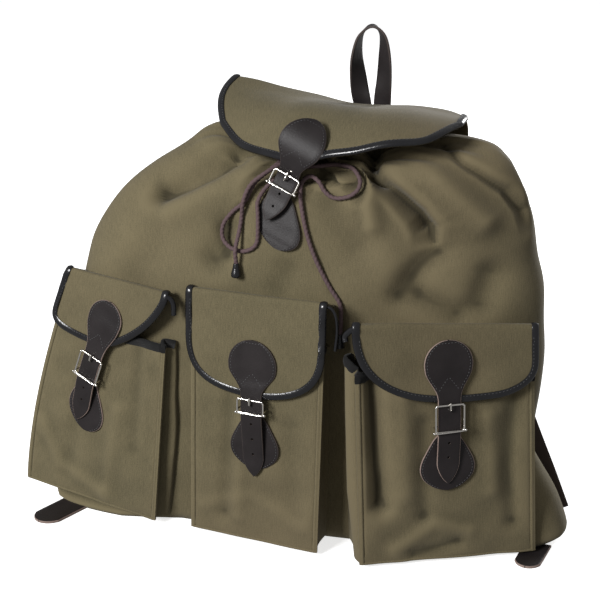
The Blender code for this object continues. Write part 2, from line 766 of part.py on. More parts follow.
def make_buckle(name, frame, length, half, bar_height, finish):
    """A wire frame in front of the strap, with its heel bar let down behind the strap at b = 0."""
    top, low = -(length - 2), 3.0
    cut = 2.0
    outline = [
        (-half, top + cut),
        (-half + cut, top),
        (half - cut, top),
        (half, top + cut),
        (half, low - cut),
        (half - cut, low),
        (-half + cut, low),
        (-half, low - cut),
    ]
    ring = [placed(frame, a, b, bar_height) for a, b in outline]
    obj = sweep(name, wire_stations(ring, frame.c, True), round_profile(WIRE, 5), finish, True)
    drop = [(-half, bar_height), (-half, HEEL_HEIGHT + 1), (-half + 1, HEEL_HEIGHT)]
    drop += [(half - 1, HEEL_HEIGHT), (half, HEEL_HEIGHT + 1), (half, bar_height)]
    staple = [placed(frame, a, 0, c) for a, c in drop]
    heel = sweep(name + "_heel", wire_stations(staple, frame.b), round_profile(WIRE * 0.93, 5), finish)
    join(obj, heel)
    return obj


def join(obj, other):
    """Fuses another mesh into obj with a Boolean. The other stays as a hidden helper."""
    other.hide_render = True
    other.hide_viewport = True
    other.display_type = "WIRE"
    union = obj.modifiers.new("Join " + other.name, "BOOLEAN")
    union.operation = "UNION"
    union.object = other


def make_prong(name, frame, length, bar_height, prong_height, finish):
    """The prong: hooked round the heel bar, up behind the strap, out through its slot and over the top bar."""
    ring = WIRE + GAP + PRONG
    top = 2 - length
    hook = [math.radians(turn) for turn in (60, 110, 170, 230, 290)]
    over_bar = bar_height + WIRE + GAP + PRONG
    path = [(ring * math.sin(turn), HEEL_HEIGHT + ring * math.cos(turn)) for turn in hook]
    path.append((hole_end(top) - 1.3, prong_height))
    path += [(top + 4.6, over_bar - 0.6), (top + 1, over_bar), (top - 2.6, over_bar)]
    points = [placed(frame, 0, b, c) for b, c in path]
    return sweep(name, wire_stations(points, frame.a), round_profile(PRONG, 5), finish)


def make_closure(name, frame, closure, below, leather, nickel):
    """Strap, buckle and prong of one closure. The strap lies on the objects in below."""
    _, bar_height, prong_height = make_strap(name + "_strap", frame, closure, surface_of(*below), leather)
    make_buckle(name + "_buckle", frame, closure.frame, STRAP_HALF + FRAME_MARGIN, bar_height, nickel)
    make_prong(name + "_prong", frame, closure.frame, bar_height, prong_height, nickel)


def make_lid_closure(body_surface, parts, leather, nickel, cord):
    """The lid's closure, with the drawcord's bow between its catch and its strap."""
    body = parts[0]
    start = Vector((LID_CLOSURE.x, -300, LID_CLOSURE.bar))
    bar = start + BACK * reach(body_surface, start, BACK)
    frame = closure_frame(bar, LID_CLOSURE_NORMAL, LID_CLOSURE.lean)
    frame.origin = bar + frame.b * (LID_CLOSURE.frame - 2)
    raise_over(frame, body_surface, LID_CLOSURE.frame)
    catch = make_catch("lid_catch", frame, LID_CLOSURE, body_surface, leather, 7.0)
    right_cord = make_cord("right", RIGHT_CORD, surface_of(body, catch), cord, leather)
    left_cord = make_cord("left", LEFT_CORD, surface_of(body, catch, right_cord), cord, leather)
    make_closure("lid", frame, LID_CLOSURE, (*parts, catch, right_cord, left_cord), leather, nickel)


def make_cord(side, rows, surface, finish, bead_finish):
    """A cord laid on a surface along the rows, with a bead on its lower end."""
    count = round(CORD_SAMPLES * (len(rows) - 1))
    most = max(radius for _, radius in BEAD_SHAPE) + GAP
    around = [Vector((x, 0, z)) for x, z in ((0, 0), (3, 3), (-3, 3), (3, -3), (-3, -3))]
    points = []
    for i in range(count + 1):
        start = Vector((spline(rows, "x", i / count), -300, spline(rows, "z", i / count)))
        # The last stretch stands off as far as the bead is thick.
        radius = CORD_RADIUS + (most - CORD_RADIUS) * max(1 - (count - i) / 3, 0)
        point = start + BACK * (reach(surface, start, BACK, around) - radius - CORD_GAP / 2)
        points.append(clear_of(surface, point, radius + CORD_GAP))
    stations = wire_stations(points, BACK)
    cord = sweep(side + "_drawcord", stations, round_profile(CORD_RADIUS, 6), finish)
    foot = clear_of(surface, points[-1] - UP * BEAD_SHAPE[-1][0], most + CORD_GAP)
    along = (foot - points[-1]).normalized()
    bead = []
    for distance, radius in BEAD_SHAPE:
        bead.append((points[-1] + along * (distance + GAP), stations[-1][1] * radius, stations[-1][2] * radius))
    sweep(side + "_cord_end", bead, round_profile(1, 8), bead_finish)
    return cord


def make_hanging_loop(surface, finish):
    """A strip folded in two: two legs side by side on the back, turned edge-on where it bends over at the top."""
    stations = []
    y = 0.0
    for i, station in enumerate(LOOP_STATIONS):
        point = Vector((station.x, 200, station.z))
        if station.z < LOOP_FREE_Z:
            around = [Vector((x, 0, z)) for x in (-9, 0, 9) for z in (-11, -5, 0, 5, 11)]
            y = 200 - reach(surface, point, -BACK, around) + LOOP_THICKNESS / 2
        else:
            y = LOOP_FREE_Y
        point.y = y
        turn = math.radians(station.turn)
        before = LOOP_STATIONS[max(i - 1, 0)]
        after = LOOP_STATIONS[min(i + 1, len(LOOP_STATIONS) - 1)]
        along = Vector((after.x - before.x, 0, after.z - before.z)).normalized()
        wide = (Vector((1, 0, 0)) * math.cos(turn) + BACK * math.sin(turn)).normalized()
        wide = (wide - along * wide.dot(along)).normalized()
        stations.append((point, wide, along.cross(wide)))
    half, thin = LOOP_WIDTH / 2, LOOP_THICKNESS / 2
    return sweep("hanging_loop", stations, [(-half, -thin), (half, -thin), (half, thin), (-half, thin)], finish)


def make_back(parts, leather, nickel):
    """The leather patch on the back, the hanging loop on it, and the two shoulder straps with their buckles."""
    body, lid = parts
    body_surface = surface_of(body)
    start = Vector((PATCH_X, 300, PATCH_Z))
    origin = start - BACK * reach(body_surface, start, -BACK)
    frame = closure_frame(origin, BACK, 0)
    rows = []
    for b, half in PATCH_OUTLINE:
        lifts = [(a * half, height_over(frame, body_surface, a * half, b)) for a in (-1, -0.4, 0.4, 1)]
        rows.append([placed(frame, a, b, lift + GAP + LEATHER / 2) for a, lift in lifts])
    patch = sheet("back_patch", rows, LEATHER, leather)
    make_hanging_loop(surface_of(body, lid, patch), leather)
    for side in SHOULDER_STRAPS:
        start = Vector((side.x_buckle, 300, side.z_buckle))
        origin = start - BACK * reach(body_surface, start, -BACK)
        rise = Vector((side.x_top - side.x_buckle, side.z_top - side.z_buckle))
        lean = math.degrees(math.atan2(-rise.x, rise.y))
        frame = closure_frame(origin, BACK, lean)
        raise_over(frame, body_surface, SHOULDER_FRAME)
        low = make_lower_strap(side.name + "_lower_strap", frame, side.lower, side.sway, body_surface, leather)
        bar = 2 - SHOULDER_FRAME
        top = -rise.length
        outline = [(top, 11), (top + 8, 15)]
        outline += [(top + 8 + (bar - 44 - top) * k / 4, 16 - k) for k in range(1, 5)]
        outline += [(b, STRAP_HALF) for b in (bar - 20, bar - 4, bar + 3, hole_end(bar), 0, 8, 24)]
        outline += [(36, STRAP_HALF - 2.5), (44, 2.5)]
        below = surface_of(body, patch, low)
        name = side.name + "_shoulder_strap"
        _, bar_height, prong_height = lay_strap(name, frame, outline, bar, below, leather, SHOULDER_BOW)
        half = STRAP_HALF + FRAME_MARGIN
        make_buckle(side.name + "_strap_buckle", frame, SHOULDER_FRAME, half, bar_height, nickel)
        make_prong(side.name + "_strap_prong", frame, SHOULDER_FRAME, bar_height, prong_height, nickel)


def make_corner_tabs(finish):
    """Leather tongues that lie on the floor and come out from under the two lower corners."""
    for tab in CORNER_TABS:
        root, tip = Vector((*tab.root, TAB / 2)), Vector((*tab.tip, TAB / 2))
        along = (tip - root).normalized()
        side = along.cross(UP)
        length = (tip - root).length
        shape = [(0, 1), (length - tab.half, 1)]
        shape += [(length - tab.half * (1 - math.sin(t)), math.cos(t)) for t in (0.5, 0.95, 1.35)]
        rows = [[root + along * d + side * tab.half * k * s for s in (-1, -0.35, 0.35, 1)] for d, k in shape]
        sheet(tab.name + "_corner_tab", rows, TAB, finish)


def main():
    clear_scene()
    canvas = material("olive canvas", (0.105, 0.092, 0.050), 0.85)
    leather = material("dark brown leather", (0.022, 0.014, 0.013), 0.45)
    binding = material("black leather binding", (0.010, 0.010, 0.012), 0.35)
    nickel = material("nickel wire", (0.62, 0.60, 0.57), 0.25, 1.0)
    cord = material("brown cord", (0.070, 0.040, 0.038), 0.80)
    body = make_body(canvas)
    body_surface = surface_of(body)
    for pocket, flap_shape, closure in zip(POCKETS, FLAPS, CLOSURES):
        pocket_obj, width = make_pocket(pocket, body_surface, canvas)
        bind_mouth(pocket, pocket_obj, width, binding)
        flap, grid = make_flap(pocket, flap_shape, body_surface, canvas)
        flap_binding = bind_flap(pocket.name + "_flap_binding", flap, grid, 1, binding, 0.9)
        height = Vector(pocket.top_left).z - Vector(pocket.low_left).z
        bar_up = (closure.bar - Vector(pocket.low_left).z) / height
        normal = panel_normal(pocket)
        bar = panel_point(pocket, closure.across, bar_up, CANVAS / 2)
        frame = closure_frame(bar, normal, closure.lean)
        frame.origin = bar + frame.b * (closure.frame - 2)
        catch = make_catch(pocket.name + "_catch", frame, closure, surface_of(pocket_obj), leather)
        make_closure(pocket.name, frame, closure, (pocket_obj, catch, flap, flap_binding), leather, nickel)
    lid, lid_grid = make_lid(body_surface, canvas)
    lid_binding = bind_flap("lid_binding", lid, lid_grid, 4, binding, 0.9)
    make_lid_closure(body_surface, (body, lid, lid_binding), leather, nickel, cord)
    make_back((body, lid), leather, nickel)
    make_corner_tabs(leather)


main()
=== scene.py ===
# %% [markdown]
# # A hunting rucksack in olive canvas and dark leather
# The real bag is a soft sack of heavy cotton canvas. A drawcord gathers its mouth, a lid falls over it, and
# three pockets with buckled flaps stand in front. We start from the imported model, which says where every
# piece is, and make each piece again as cloth, leather, wire or cord.

# %% Load the frame
import json
import math

import bmesh
import bpy
import numpy as np
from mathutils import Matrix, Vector
from mathutils.bvhtree import BVHTree

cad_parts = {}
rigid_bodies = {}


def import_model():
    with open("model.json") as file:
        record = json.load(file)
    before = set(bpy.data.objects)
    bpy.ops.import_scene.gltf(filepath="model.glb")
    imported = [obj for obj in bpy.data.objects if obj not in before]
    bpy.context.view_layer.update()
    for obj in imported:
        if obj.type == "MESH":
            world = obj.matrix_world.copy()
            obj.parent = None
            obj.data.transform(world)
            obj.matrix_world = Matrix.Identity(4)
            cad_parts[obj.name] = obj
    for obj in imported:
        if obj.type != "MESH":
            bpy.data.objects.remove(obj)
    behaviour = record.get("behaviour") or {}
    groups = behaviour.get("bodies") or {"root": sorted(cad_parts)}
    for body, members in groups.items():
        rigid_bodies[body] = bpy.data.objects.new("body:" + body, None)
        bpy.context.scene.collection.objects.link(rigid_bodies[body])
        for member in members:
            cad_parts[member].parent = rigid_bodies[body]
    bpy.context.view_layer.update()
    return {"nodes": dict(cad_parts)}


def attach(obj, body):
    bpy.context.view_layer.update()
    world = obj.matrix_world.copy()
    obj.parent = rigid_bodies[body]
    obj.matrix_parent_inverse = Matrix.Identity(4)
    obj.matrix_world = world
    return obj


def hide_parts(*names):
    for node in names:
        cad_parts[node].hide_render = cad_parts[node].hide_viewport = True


for leftover in list(bpy.data.objects):
    bpy.data.objects.remove(leftover, do_unlink=True)
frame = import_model()
bpy.ops.object.select_all(action="DESELECT")
MM = 0.001
# How thick the canvas and the leather are, in millimetres.
CANVAS_THICK = 1.6
LEATHER_THICK = 2.0

# %% [markdown]
# ## Camera, floor and light
# The bag was photographed from a little to its right and from above, on white, in a soft light that comes
# mostly from the left. A white world and a pale floor give the clean ground, one panel of light in front, on
# the left, models the folds, and a second one behind the bag lights its back.

# %% Camera
CAMERA_PLACE = Vector((0.5086, -1.2342, 0.6723))
CAMERA_TARGET = Vector((0.0099, 0.0004, 0.2397))
bpy.ops.object.camera_add(location=CAMERA_PLACE)
camera = bpy.context.object
camera.rotation_euler = (CAMERA_TARGET - CAMERA_PLACE).to_track_quat("-Z", "Y").to_euler()
camera.data.sensor_width = 36
camera.data.lens = 84
bpy.context.scene.camera = camera
print("camera looks down by", round(math.degrees(camera.rotation_euler.x), 1), "degrees from straight down")


# %% Light
def add_panel(name, place, target, size, power):
    """A square panel of light at a place, turned to a target."""
    bpy.ops.object.light_add(type="AREA", location=place)
    panel = bpy.context.object
    panel.name = name
    panel.rotation_euler = (Vector(target) - Vector(place)).to_track_quat("-Z", "Y").to_euler()
    panel.data.size = size
    panel.data.energy = power
    return panel


BAG_MIDDLE = (0, 0, 0.25)
add_panel("key light", (-0.95, -2.5, 1.5), BAG_MIDDLE, 0.9, 104)
add_panel("back light", (0.8, 2.7, 1.1), BAG_MIDDLE, 1.3, 75)
world = bpy.data.worlds.new("white room")
bpy.context.scene.world = world
world.use_nodes = True
world.node_tree.nodes["Background"].inputs["Color"].default_value = (1, 1, 1, 1)
world.node_tree.nodes["Background"].inputs["Strength"].default_value = 0.31
bpy.context.scene.view_settings.view_transform = "Standard"


# %% [markdown]
# ## Finishes
# A finish is a small tree of nodes. To keep the tree readable, a socket is wrapped so that an expression
# such as `0.5 + threads * 0.3` adds the Math nodes by itself, and one method adds every other kind of node.

# %% Sums on sockets
class Value:
    """A socket that takes part in sums."""

    def __init__(self, finish, socket):
        self.finish = finish
        self.socket = socket

    def math(self, operation, *others):
        places = dict(enumerate((self, *others)))
        return self.finish.add("ShaderNodeMath", {"operation": operation}, places)

    def __add__(self, other):
        return self.math("ADD", other)

    __radd__ = __add__

    def __mul__(self, other):
        return self.math("MULTIPLY", other)

    __rmul__ = __mul__

    def __sub__(self, other):
        return self.math("SUBTRACT", other)

    def __rsub__(self, other):
        return (self * -1.0) + other

    def limited(self):
        return self.math("MAXIMUM", 0.0).math("MINIMUM", 1.0)


class Finish:
    """A material that is built node by node."""

    def __init__(self, name, colour, roughness, metallic=0.0):
        self.material = bpy.data.materials.new(name)
        self.material.use_nodes = True
        self.tree = self.material.node_tree
        self.shader = self.tree.nodes["Principled BSDF"]
        self.set(self.shader, {"Base Color": (*colour, 1), "Roughness": roughness, "Metallic": metallic})

    def set(self, node, values):
        for socket, value in values.items():
            if isinstance(value, Value):
                self.tree.links.new(value.socket, node.inputs[socket])
            else:
                node.inputs[socket].default_value = value

    def add(self, kind, settings, values, output=0):
        """Adds a node with its settings, gives its sockets their values or links, and returns one output."""
        node = self.tree.nodes.new(kind)
        for name, value in settings.items():
            setattr(node, name, value)
        self.set(node, values)
        return Value(self, node.outputs[output])

    def noise(self, place, scale, detail=2.0, stretch=(1, 1, 1)):
        moved = self.add("ShaderNodeVectorMath", {"operation": "MULTIPLY"}, {0: place, 1: stretch})
        return self.add("ShaderNodeTexNoise", {}, {"Vector": moved, "Scale": scale, "Detail": detail})

    def blend(self, share, first, second):
        """A colour between two, as far as share says."""
        colours = [colour if isinstance(colour, Value) else (*colour, 1) for colour in (first, second)]
        return self.add("ShaderNodeMix", {"data_type": "RGBA"}, {0: share, 6: colours[0], 7: colours[1]}, 2)

    def bump(self, height, distance, strength=1.0):
        values = {"Height": height, "Distance": distance, "Strength": strength}
        self.set(self.shader, {"Normal": self.add("ShaderNodeBump", {}, values)})


print("finishes are built with one class for sums and one for trees")

# %% [markdown]
# ### Canvas
# The canvas is a dense cotton weave. Its upright threads show as fine streaks, its colour drifts between
# green and brown, raised edges are made paler, partly as rubbed wear and partly as painted light, and
# hollows get painted shade that is darkest in the deep ones. The piece's own map, in metres, keeps the
# threads running with the cloth.


# %% Canvas finish
def canvas_finish(name, dark, light):
    finish = Finish(name, light, 0.88)
    finish.set(finish.shader, {"Specular IOR Level": 0.22, "Sheen Weight": 0.08, "Sheen Roughness": 0.5})
    cloth = finish.add("ShaderNodeUVMap", {"uv_map": "cloth"}, {})
    place = finish.add("ShaderNodeTexCoord", {}, {}, "Object")
    upright = finish.noise(cloth, 1.0, 2.0, (900, 110, 1))
    across = finish.noise(cloth, 1.0, 2.0, (800, 900, 1))
    clouds = finish.noise(place, 9.0, 3.0)
    drift = finish.noise(place, 3.0, 1.0)
    # The wear and shade attribute: ridges paler as rubbed wear and painted light, hollows darker as painted
    # shade.
    wear_and_shade = finish.add("ShaderNodeAttribute", {"attribute_name": "wear_and_shade"}, {}, "Fac")
    tone = 0.5 + (upright - 0.5) * 1.1 + (across - 0.5) * 1.5 + (clouds - 0.5) * 0.9 + (wear_and_shade - 0.5) * 1.6
    colour = finish.blend(tone.limited(), dark, light)
    brown = tuple(value * factor for value, factor in zip(light, (0.98, 0.86, 0.92)))
    share = ((drift - 0.42) * 2.2).limited() * 0.55
    colour = finish.blend(share, colour, brown)
    # Painted shade: the deepest hollows are darkened further, towards a dark shade of the olive.
    hollow = ((0.2 - wear_and_shade) * 5.0).limited() * 0.6
    shade = tuple(value * 0.3 for value in dark)
    finish.set(finish.shader, {"Base Color": finish.blend(hollow, colour, shade)})
    finish.bump(upright * 0.5 + across * 0.5, 0.0005, 0.75)
    return finish.material


OLIVE = (0.141, 0.117, 0.065)
OLIVE_DARK = (0.080, 0.068, 0.037)
canvas = canvas_finish("olive canvas", OLIVE_DARK, OLIVE)
tape = canvas_finish("dark woven tape", (0.010, 0.010, 0.010), (0.036, 0.035, 0.034))
print("canvas:", canvas.name, tape.name)

# %% [markdown]
# ### Leather, metal and thread
# The straps are dyed through their face only, so their cut edges stay pale. The face is smooth with a fine
# grain and small differences in gloss. The wire is nickel plated, and the cord and threads are matt.


# %% Other finishes
def leather_finish(name, dark, light, roughness, grain=2400.0, shine=0.28):
    finish = Finish(name, light, roughness)
    finish.set(finish.shader, {"Specular IOR Level": shine})
    place = finish.add("ShaderNodeTexCoord", {}, {}, "Object")
    clouds = finish.noise(place, 42.0, 4.0)
    pores = finish.noise(place, grain, 2.0)
    finish.set(finish.shader, {"Base Color": finish.blend(clouds, dark, light)})
    finish.set(finish.shader, {"Roughness": roughness - 0.09 + clouds * 0.18})
    finish.bump(pores * 0.5 + clouds, 0.0005, 0.7)
    return finish.material


def plain_finish(name, dark, light, roughness, metallic=0.0, scale=700.0):
    finish = Finish(name, light, roughness, metallic)
    place = finish.add("ShaderNodeTexCoord", {}, {}, "Object")
    spots = finish.noise(place, scale, 2.0)
    finish.set(finish.shader, {"Base Color": finish.blend(spots, dark, light)})
    finish.bump(spots, 0.0001, 0.35)
    return finish.material


BROWN = (0.026, 0.0215, 0.022)
BROWN_DARK = (0.009, 0.0074, 0.0075)
leather = leather_finish("dark brown leather", BROWN_DARK, BROWN, 0.45, 1300.0, 0.22)
BLACK = (0.012, 0.012, 0.014)
BLACK_DARK = (0.004, 0.004, 0.005)
binding = leather_finish("black binding leather", BLACK_DARK, BLACK, 0.24, 600.0, 0.5)
raw_edge = leather_finish("cut leather edge", (0.150, 0.105, 0.090), (0.330, 0.250, 0.215), 0.75)
dark_edge = leather_finish("dyed leather edge", (0.030, 0.022, 0.020), (0.075, 0.058, 0.052), 0.6)
nickel = plain_finish("nickel wire", (0.62, 0.59, 0.54), (0.86, 0.83, 0.78), 0.24, 1.0, 260.0)
cord_yarn = plain_finish("brown cord", (0.050, 0.028, 0.030), (0.120, 0.076, 0.080), 0.85, 0.0, 1600.0)
grey_thread = plain_finish("grey thread", (0.030, 0.030, 0.032), (0.100, 0.098, 0.100), 0.55)
inner_dark = leather_finish("leather underside", (0.040, 0.030, 0.026), (0.080, 0.060, 0.050), 0.8)
print("finishes:", len(bpy.data.materials))

# %% Floor
bpy.ops.mesh.primitive_plane_add(size=60, location=(0, 0, 0))
floor = bpy.context.object
floor.name = "floor"
pale = Finish("pale floor", (0.95, 0.95, 0.95), 0.9)
pale.set(pale.shader, {"Emission Color": (1, 1, 1, 1), "Emission Strength": 0.7})
floor.data.materials.append(pale.material)
# Only the camera sees the floor, so that its light doesn't wash out the shade under the bag.
floor.visible_diffuse = False
floor.visible_glossy = False
print("floor is", round(floor.dimensions.x), "m wide")

# %% [markdown]
# ## Laying a grid over a form
# Cloth and leather are made from a grid primitive. Each of its vertices is moved to a point of the form, a
# map in metres is written from the lengths along the grid, and Solidify gives the wall its thickness. A
# closed tube is the same grid with its two edges merged.


# %% Rows of vectors
def unit_rows(vectors):
    """Vectors brought to a length of one."""
    return vectors / np.maximum(np.linalg.norm(vectors, axis=-1, keepdims=True), 1e-9)


def square_to(axis, vectors):
    """The part of each vector that is square to its axis, brought to a length of one."""
    return unit_rows(vectors - axis * (vectors * axis).sum(-1, keepdims=True))


def directions(line):
    return unit_rows(np.gradient(line, axis=0))


def grid_normals(points):
    return unit_rows(np.cross(np.gradient(points, axis=1), np.gradient(points, axis=0)))


def lengths_along(line):
    """How far along a line each of its points lies."""
    return np.concatenate([[0], np.cumsum(np.linalg.norm(np.diff(line, axis=0), axis=1))])


def fill_gaps(values):
    """A row of values, with the missing ones between their neighbours."""
    values = np.array(values, float)
    known = ~np.isnan(values)
    return np.interp(np.arange(len(values)), np.flatnonzero(known), values[known])


print("rows of vectors can be measured and turned")


# %% Grid pieces
def span(points, axis):
    """The length along a grid of points in one direction, in metres, from its middle line."""
    steps = np.linalg.norm(np.diff(points, axis=axis), axis=2) * MM
    start = np.zeros_like(points[..., 0]).take([0], axis)
    length = np.concatenate([start, np.cumsum(steps, axis)], axis)
    return length - length.take([points.shape[axis] // 2], axis)


# This sets the canvas's rubbed wear and painted light on ridges, and its painted shade in hollows.
def wear_and_shade_of(points):
    """How far each point of a grid stands out of those round it: over 0.5 on a ridge, under in a hollow."""
    rows, columns = points.shape[:2]
    grown = np.pad(points, ((3, 3), (3, 3), (0, 0)), "edge")
    smooth = sum(grown[r : r + rows, c : c + columns] for r in range(7) for c in range(7)) / 49
    out = ((points - smooth) * grid_normals(points)).sum(axis=2)
    return 0.5 + np.clip(out * 0.35, -0.5, 0.5)


def lay_grid(name, points, finishes, bands=None, cloth=None):
    """A grid primitive moved onto the points, in millimetres. bands gives each column of faces its finish."""
    rows, columns = points.shape[:2]
    bpy.ops.mesh.primitive_grid_add(x_subdivisions=columns - 1, y_subdivisions=rows - 1, size=1)
    piece = bpy.context.object
    piece.name = name
    mesh = piece.data
    mesh.name = name
    count = len(mesh.vertices)
    flat = np.empty(count * 3)
    mesh.vertices.foreach_get("co", flat)
    flat = flat.reshape(-1, 3)
    column = np.rint((flat[:, 0] + 0.5) * (columns - 1)).astype(int)
    row = np.rint((flat[:, 1] + 0.5) * (rows - 1)).astype(int)
    mesh.vertices.foreach_set("co", (points[row, column] * MM).reshape(-1))
    corners = np.empty(len(mesh.loops), int)
    mesh.loops.foreach_get("vertex_index", corners)
    while mesh.uv_layers:
        mesh.uv_layers.remove(mesh.uv_layers[0])
    layer = mesh.uv_layers.new(name="cloth")
    cloth = np.stack([span(points, 1), span(points, 0)], 2) if cloth is None else cloth
    layer.data.foreach_set("uv", cloth[row, column][corners].reshape(-1))
    # Stored as the wear and shade attribute: rubbed wear and painted light on ridges, painted shade in hollows.
    wear_and_shade_layer = mesh.attributes.new("wear_and_shade", "FLOAT", "POINT")
    wear_and_shade_layer.data.foreach_set("value", wear_and_shade_of(points)[row, column])
    for finish in finishes:
        mesh.materials.append(finish)
    if bands is not None:
        starts = np.empty(len(mesh.polygons), int)
        mesh.polygons.foreach_get("loop_start", starts)
        face_column = np.array([min(column[corners[s : s + 4]]) for s in starts])
        mesh.polygons.foreach_set("material_index", np.asarray(bands)[face_column])
    mesh.update()
    mesh.shade_smooth()
    return piece


def pick(*pieces):
    """Selects some pieces, and makes the first of them the active one."""
    bpy.ops.object.select_all(action="DESELECT")
    for piece in pieces:
        piece.select_set(True)
    bpy.context.view_layer.objects.active = pieces[0]


MERGE = (bpy.ops.mesh.remove_doubles, {"threshold": 2e-6})
OUTWARDS = (bpy.ops.mesh.normals_make_consistent, {"inside": False})


def edit_all(piece, *steps):
    """Runs edit-mode operators on the whole of one piece."""
    pick(piece)
    bpy.ops.object.mode_set(mode="EDIT")
    bpy.ops.mesh.select_all(action="SELECT")
    for operator, options in steps:
        operator(**options)
    bpy.ops.object.mode_set(mode="OBJECT")
    piece.select_set(False)


def apply(piece, kind, **settings):
    """Adds a modifier with its settings and applies it."""
    bpy.context.view_layer.objects.active = piece
    modifier = piece.modifiers.new(kind.title(), kind)
    for name, value in settings.items():
        setattr(modifier, name, value)
    bpy.ops.object.modifier_apply(modifier=modifier.name)


def soften(piece, degrees):
    """Shades a piece smooth, apart from its sharp edges."""
    pick(piece)
    bpy.ops.object.shade_smooth_by_angle(angle=math.radians(degrees))
    piece.select_set(False)


def lay_tube(name, points, finishes, bands=None, soft=None):
    """A grid whose two sides meet and whose ends are closed, with edges kept sharp from soft degrees."""
    piece = lay_grid(name, points, finishes, bands)
    edit_all(piece, MERGE, (bpy.ops.mesh.fill_holes, {"sides": 0}), OUTWARDS)
    if soft:
        soften(piece, soft)
    return piece


def sweep(line, section, first, second):
    """One section carried along a line, with its two columns along two directions."""
    return line[:, None] + section[None, :, :1] * first[:, None] + section[None, :, 1:] * second[:, None]


def rings(line, along, side, size, sides):
    """Round sections along a line. side is roughly square to it, and size their radius."""
    first = square_to(along, np.broadcast_to(side, line.shape))
    second = np.cross(along, first)
    turn = np.linspace(0, 2 * math.pi, sides + 1)[None, :, None]
    ring = np.cos(turn) * first[:, None] + np.sin(turn) * second[:, None]
    return line[:, None] + ring * np.broadcast_to(size, (len(line), sides + 1))[..., None]


def place_piece(piece, slot, *replaced):
    """Puts a piece on the bag and hides the solids that it stands for. slot is not used."""
    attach(piece, "root")
    if replaced:
        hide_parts(*replaced)
    print(piece.name, "faces:", len(piece.data.polygons))
    return piece


print("grid helpers are ready")


# %% Smooth lines and surfaces to lay things on
def smooth_line(keys, places):
    """Points on a smooth curve through the keys. A place of 1.5 is halfway from the second to the third."""
    keys = np.asarray(keys, float)
    places = np.asarray(places, float)
    last = len(keys) - 1
    i = np.clip(places.astype(int), 0, last - 1)
    t = (places - i).reshape(-1, *[1] * (keys.ndim - 1))
    before, a, b, after = keys[np.maximum(i - 1, 0)], keys[i], keys[i + 1], keys[np.minimum(i + 2, last)]
    square = 2 * before - 5 * a + 4 * b - after
    cube = 3 * (a - b) + after - before
    return a + 0.5 * t * (b - before + t * (square + t * cube))


def even_line(keys, step):
    """Points about a step apart on the smooth curve through the keys."""
    fine = smooth_line(keys, np.linspace(0, len(keys) - 1, 60 * len(keys)))
    length = lengths_along(fine)
    count = max(int(round(length[-1] / step)), 2)
    wanted = np.linspace(0, length[-1], count + 1)
    return np.stack([np.interp(wanted, length, fine[:, k]) for k in range(fine.shape[1])], 1)


def surface_of(*pieces):
    """A search tree, in millimetres, over the faces of some pieces."""
    points = []
    faces = []
    for piece in pieces:
        start = len(points)
        points += [vertex.co / MM for vertex in piece.data.vertices]
        faces += [tuple(start + i for i in polygon.vertices) for polygon in piece.data.polygons]
    return BVHTree.FromPolygons(points, faces)


def reach(surface, start, direction, missed=None):
    """How far a point can go in a direction before it meets a surface."""
    distance = surface.ray_cast(Vector(start), Vector(direction))[3]
    return missed if distance is None else distance


def hits(surface, starts, direction):
    """How far it is from each of some points to a surface, without the points that miss it."""
    found = [reach(surface, start, direction) for start in starts]
    return [distance for distance in found if distance is not None]


def unit(vector):
    vector = np.asarray(vector, float)
    return vector / np.linalg.norm(vector)


def even_out(values, width):
    """A row of values, each made the mean of those round it."""
    values = np.asarray(values, float)
    grown = np.pad(values, (width, width), "edge")
    kernel = np.hanning(2 * width + 3)[1:-1]
    return np.convolve(grown, kernel / kernel.sum(), "valid")


UP = np.array([0.0, 0.0, 1.0])
RIGHT = np.array([1.0, 0.0, 0.0])
BACK = np.array([0.0, 1.0, 0.0])
print("lines and surfaces can be laid on each other")

# %% [markdown]
# ## The two ends of the drawcord
# Two ends of brown cord come out of the gathered mouth. The left end hangs straight down, and the right end
# makes both loops of the bow and hangs down on the right. Each is a soft tube of two twisted plies, laid
# where the model's cord lies: the routes are its own points in the front view, and a ray from the front
# finds its depth.

# %% Cords
LEFT_ROUTE = [(17, 396), (6, 386), (-6, 378), (-17, 368), (-23, 353), (-26, 334), (-27, 313), (-27, 293)]
RIGHT_ROUTE = [(9, 394), (-3, 381), (-15, 369), (-23, 352), (-36, 340), (-45, 327), (-45, 314), (-35, 306)]
RIGHT_ROUTE += [(-20, 305), (-9, 312), (-7, 326), (-8, 341), (-9, 353), (-3, 366), (11, 378), (27, 384)]
RIGHT_ROUTE += [(43, 386), (60, 386), (75, 385), (85, 378), (85, 369), (76, 362), (63, 360), (54, 365)]
RIGHT_ROUTE += [(47, 374), (38, 378), (31, 372), (31, 360), (35, 343), (41, 323), (51, 300), (63, 277)]
RIGHT_ROUTE += [(73, 261), (74.5, 246), (74, 230)]
CORD_RADIUS = 2.0
# How long one turn of the cord's two plies is.
LAY = 9.0
# How far in front of the origin a ray starts, in millimetres.
BEFORE = 300


def cord_line(side, route):
    """The cord's centre line: its route in the front view, as deep as the model's cord."""
    surface = surface_of(frame["nodes"][side + "_drawcord"])
    flat = even_line(route, 2.0)
    around = [(dx, dz) for dx in (-0.8, 0, 0.8) for dz in (-0.8, 0, 0.8)]
    depth = []
    for x, z in flat:
        found = hits(surface, [(x + dx, -BEFORE, z + dz) for dx, dz in around], BACK)
        depth.append(min(found, default=np.nan) - BEFORE + CORD_RADIUS)
    return np.stack([flat[:, 0], even_out(fill_gaps(depth), 4), flat[:, 1]], 1)


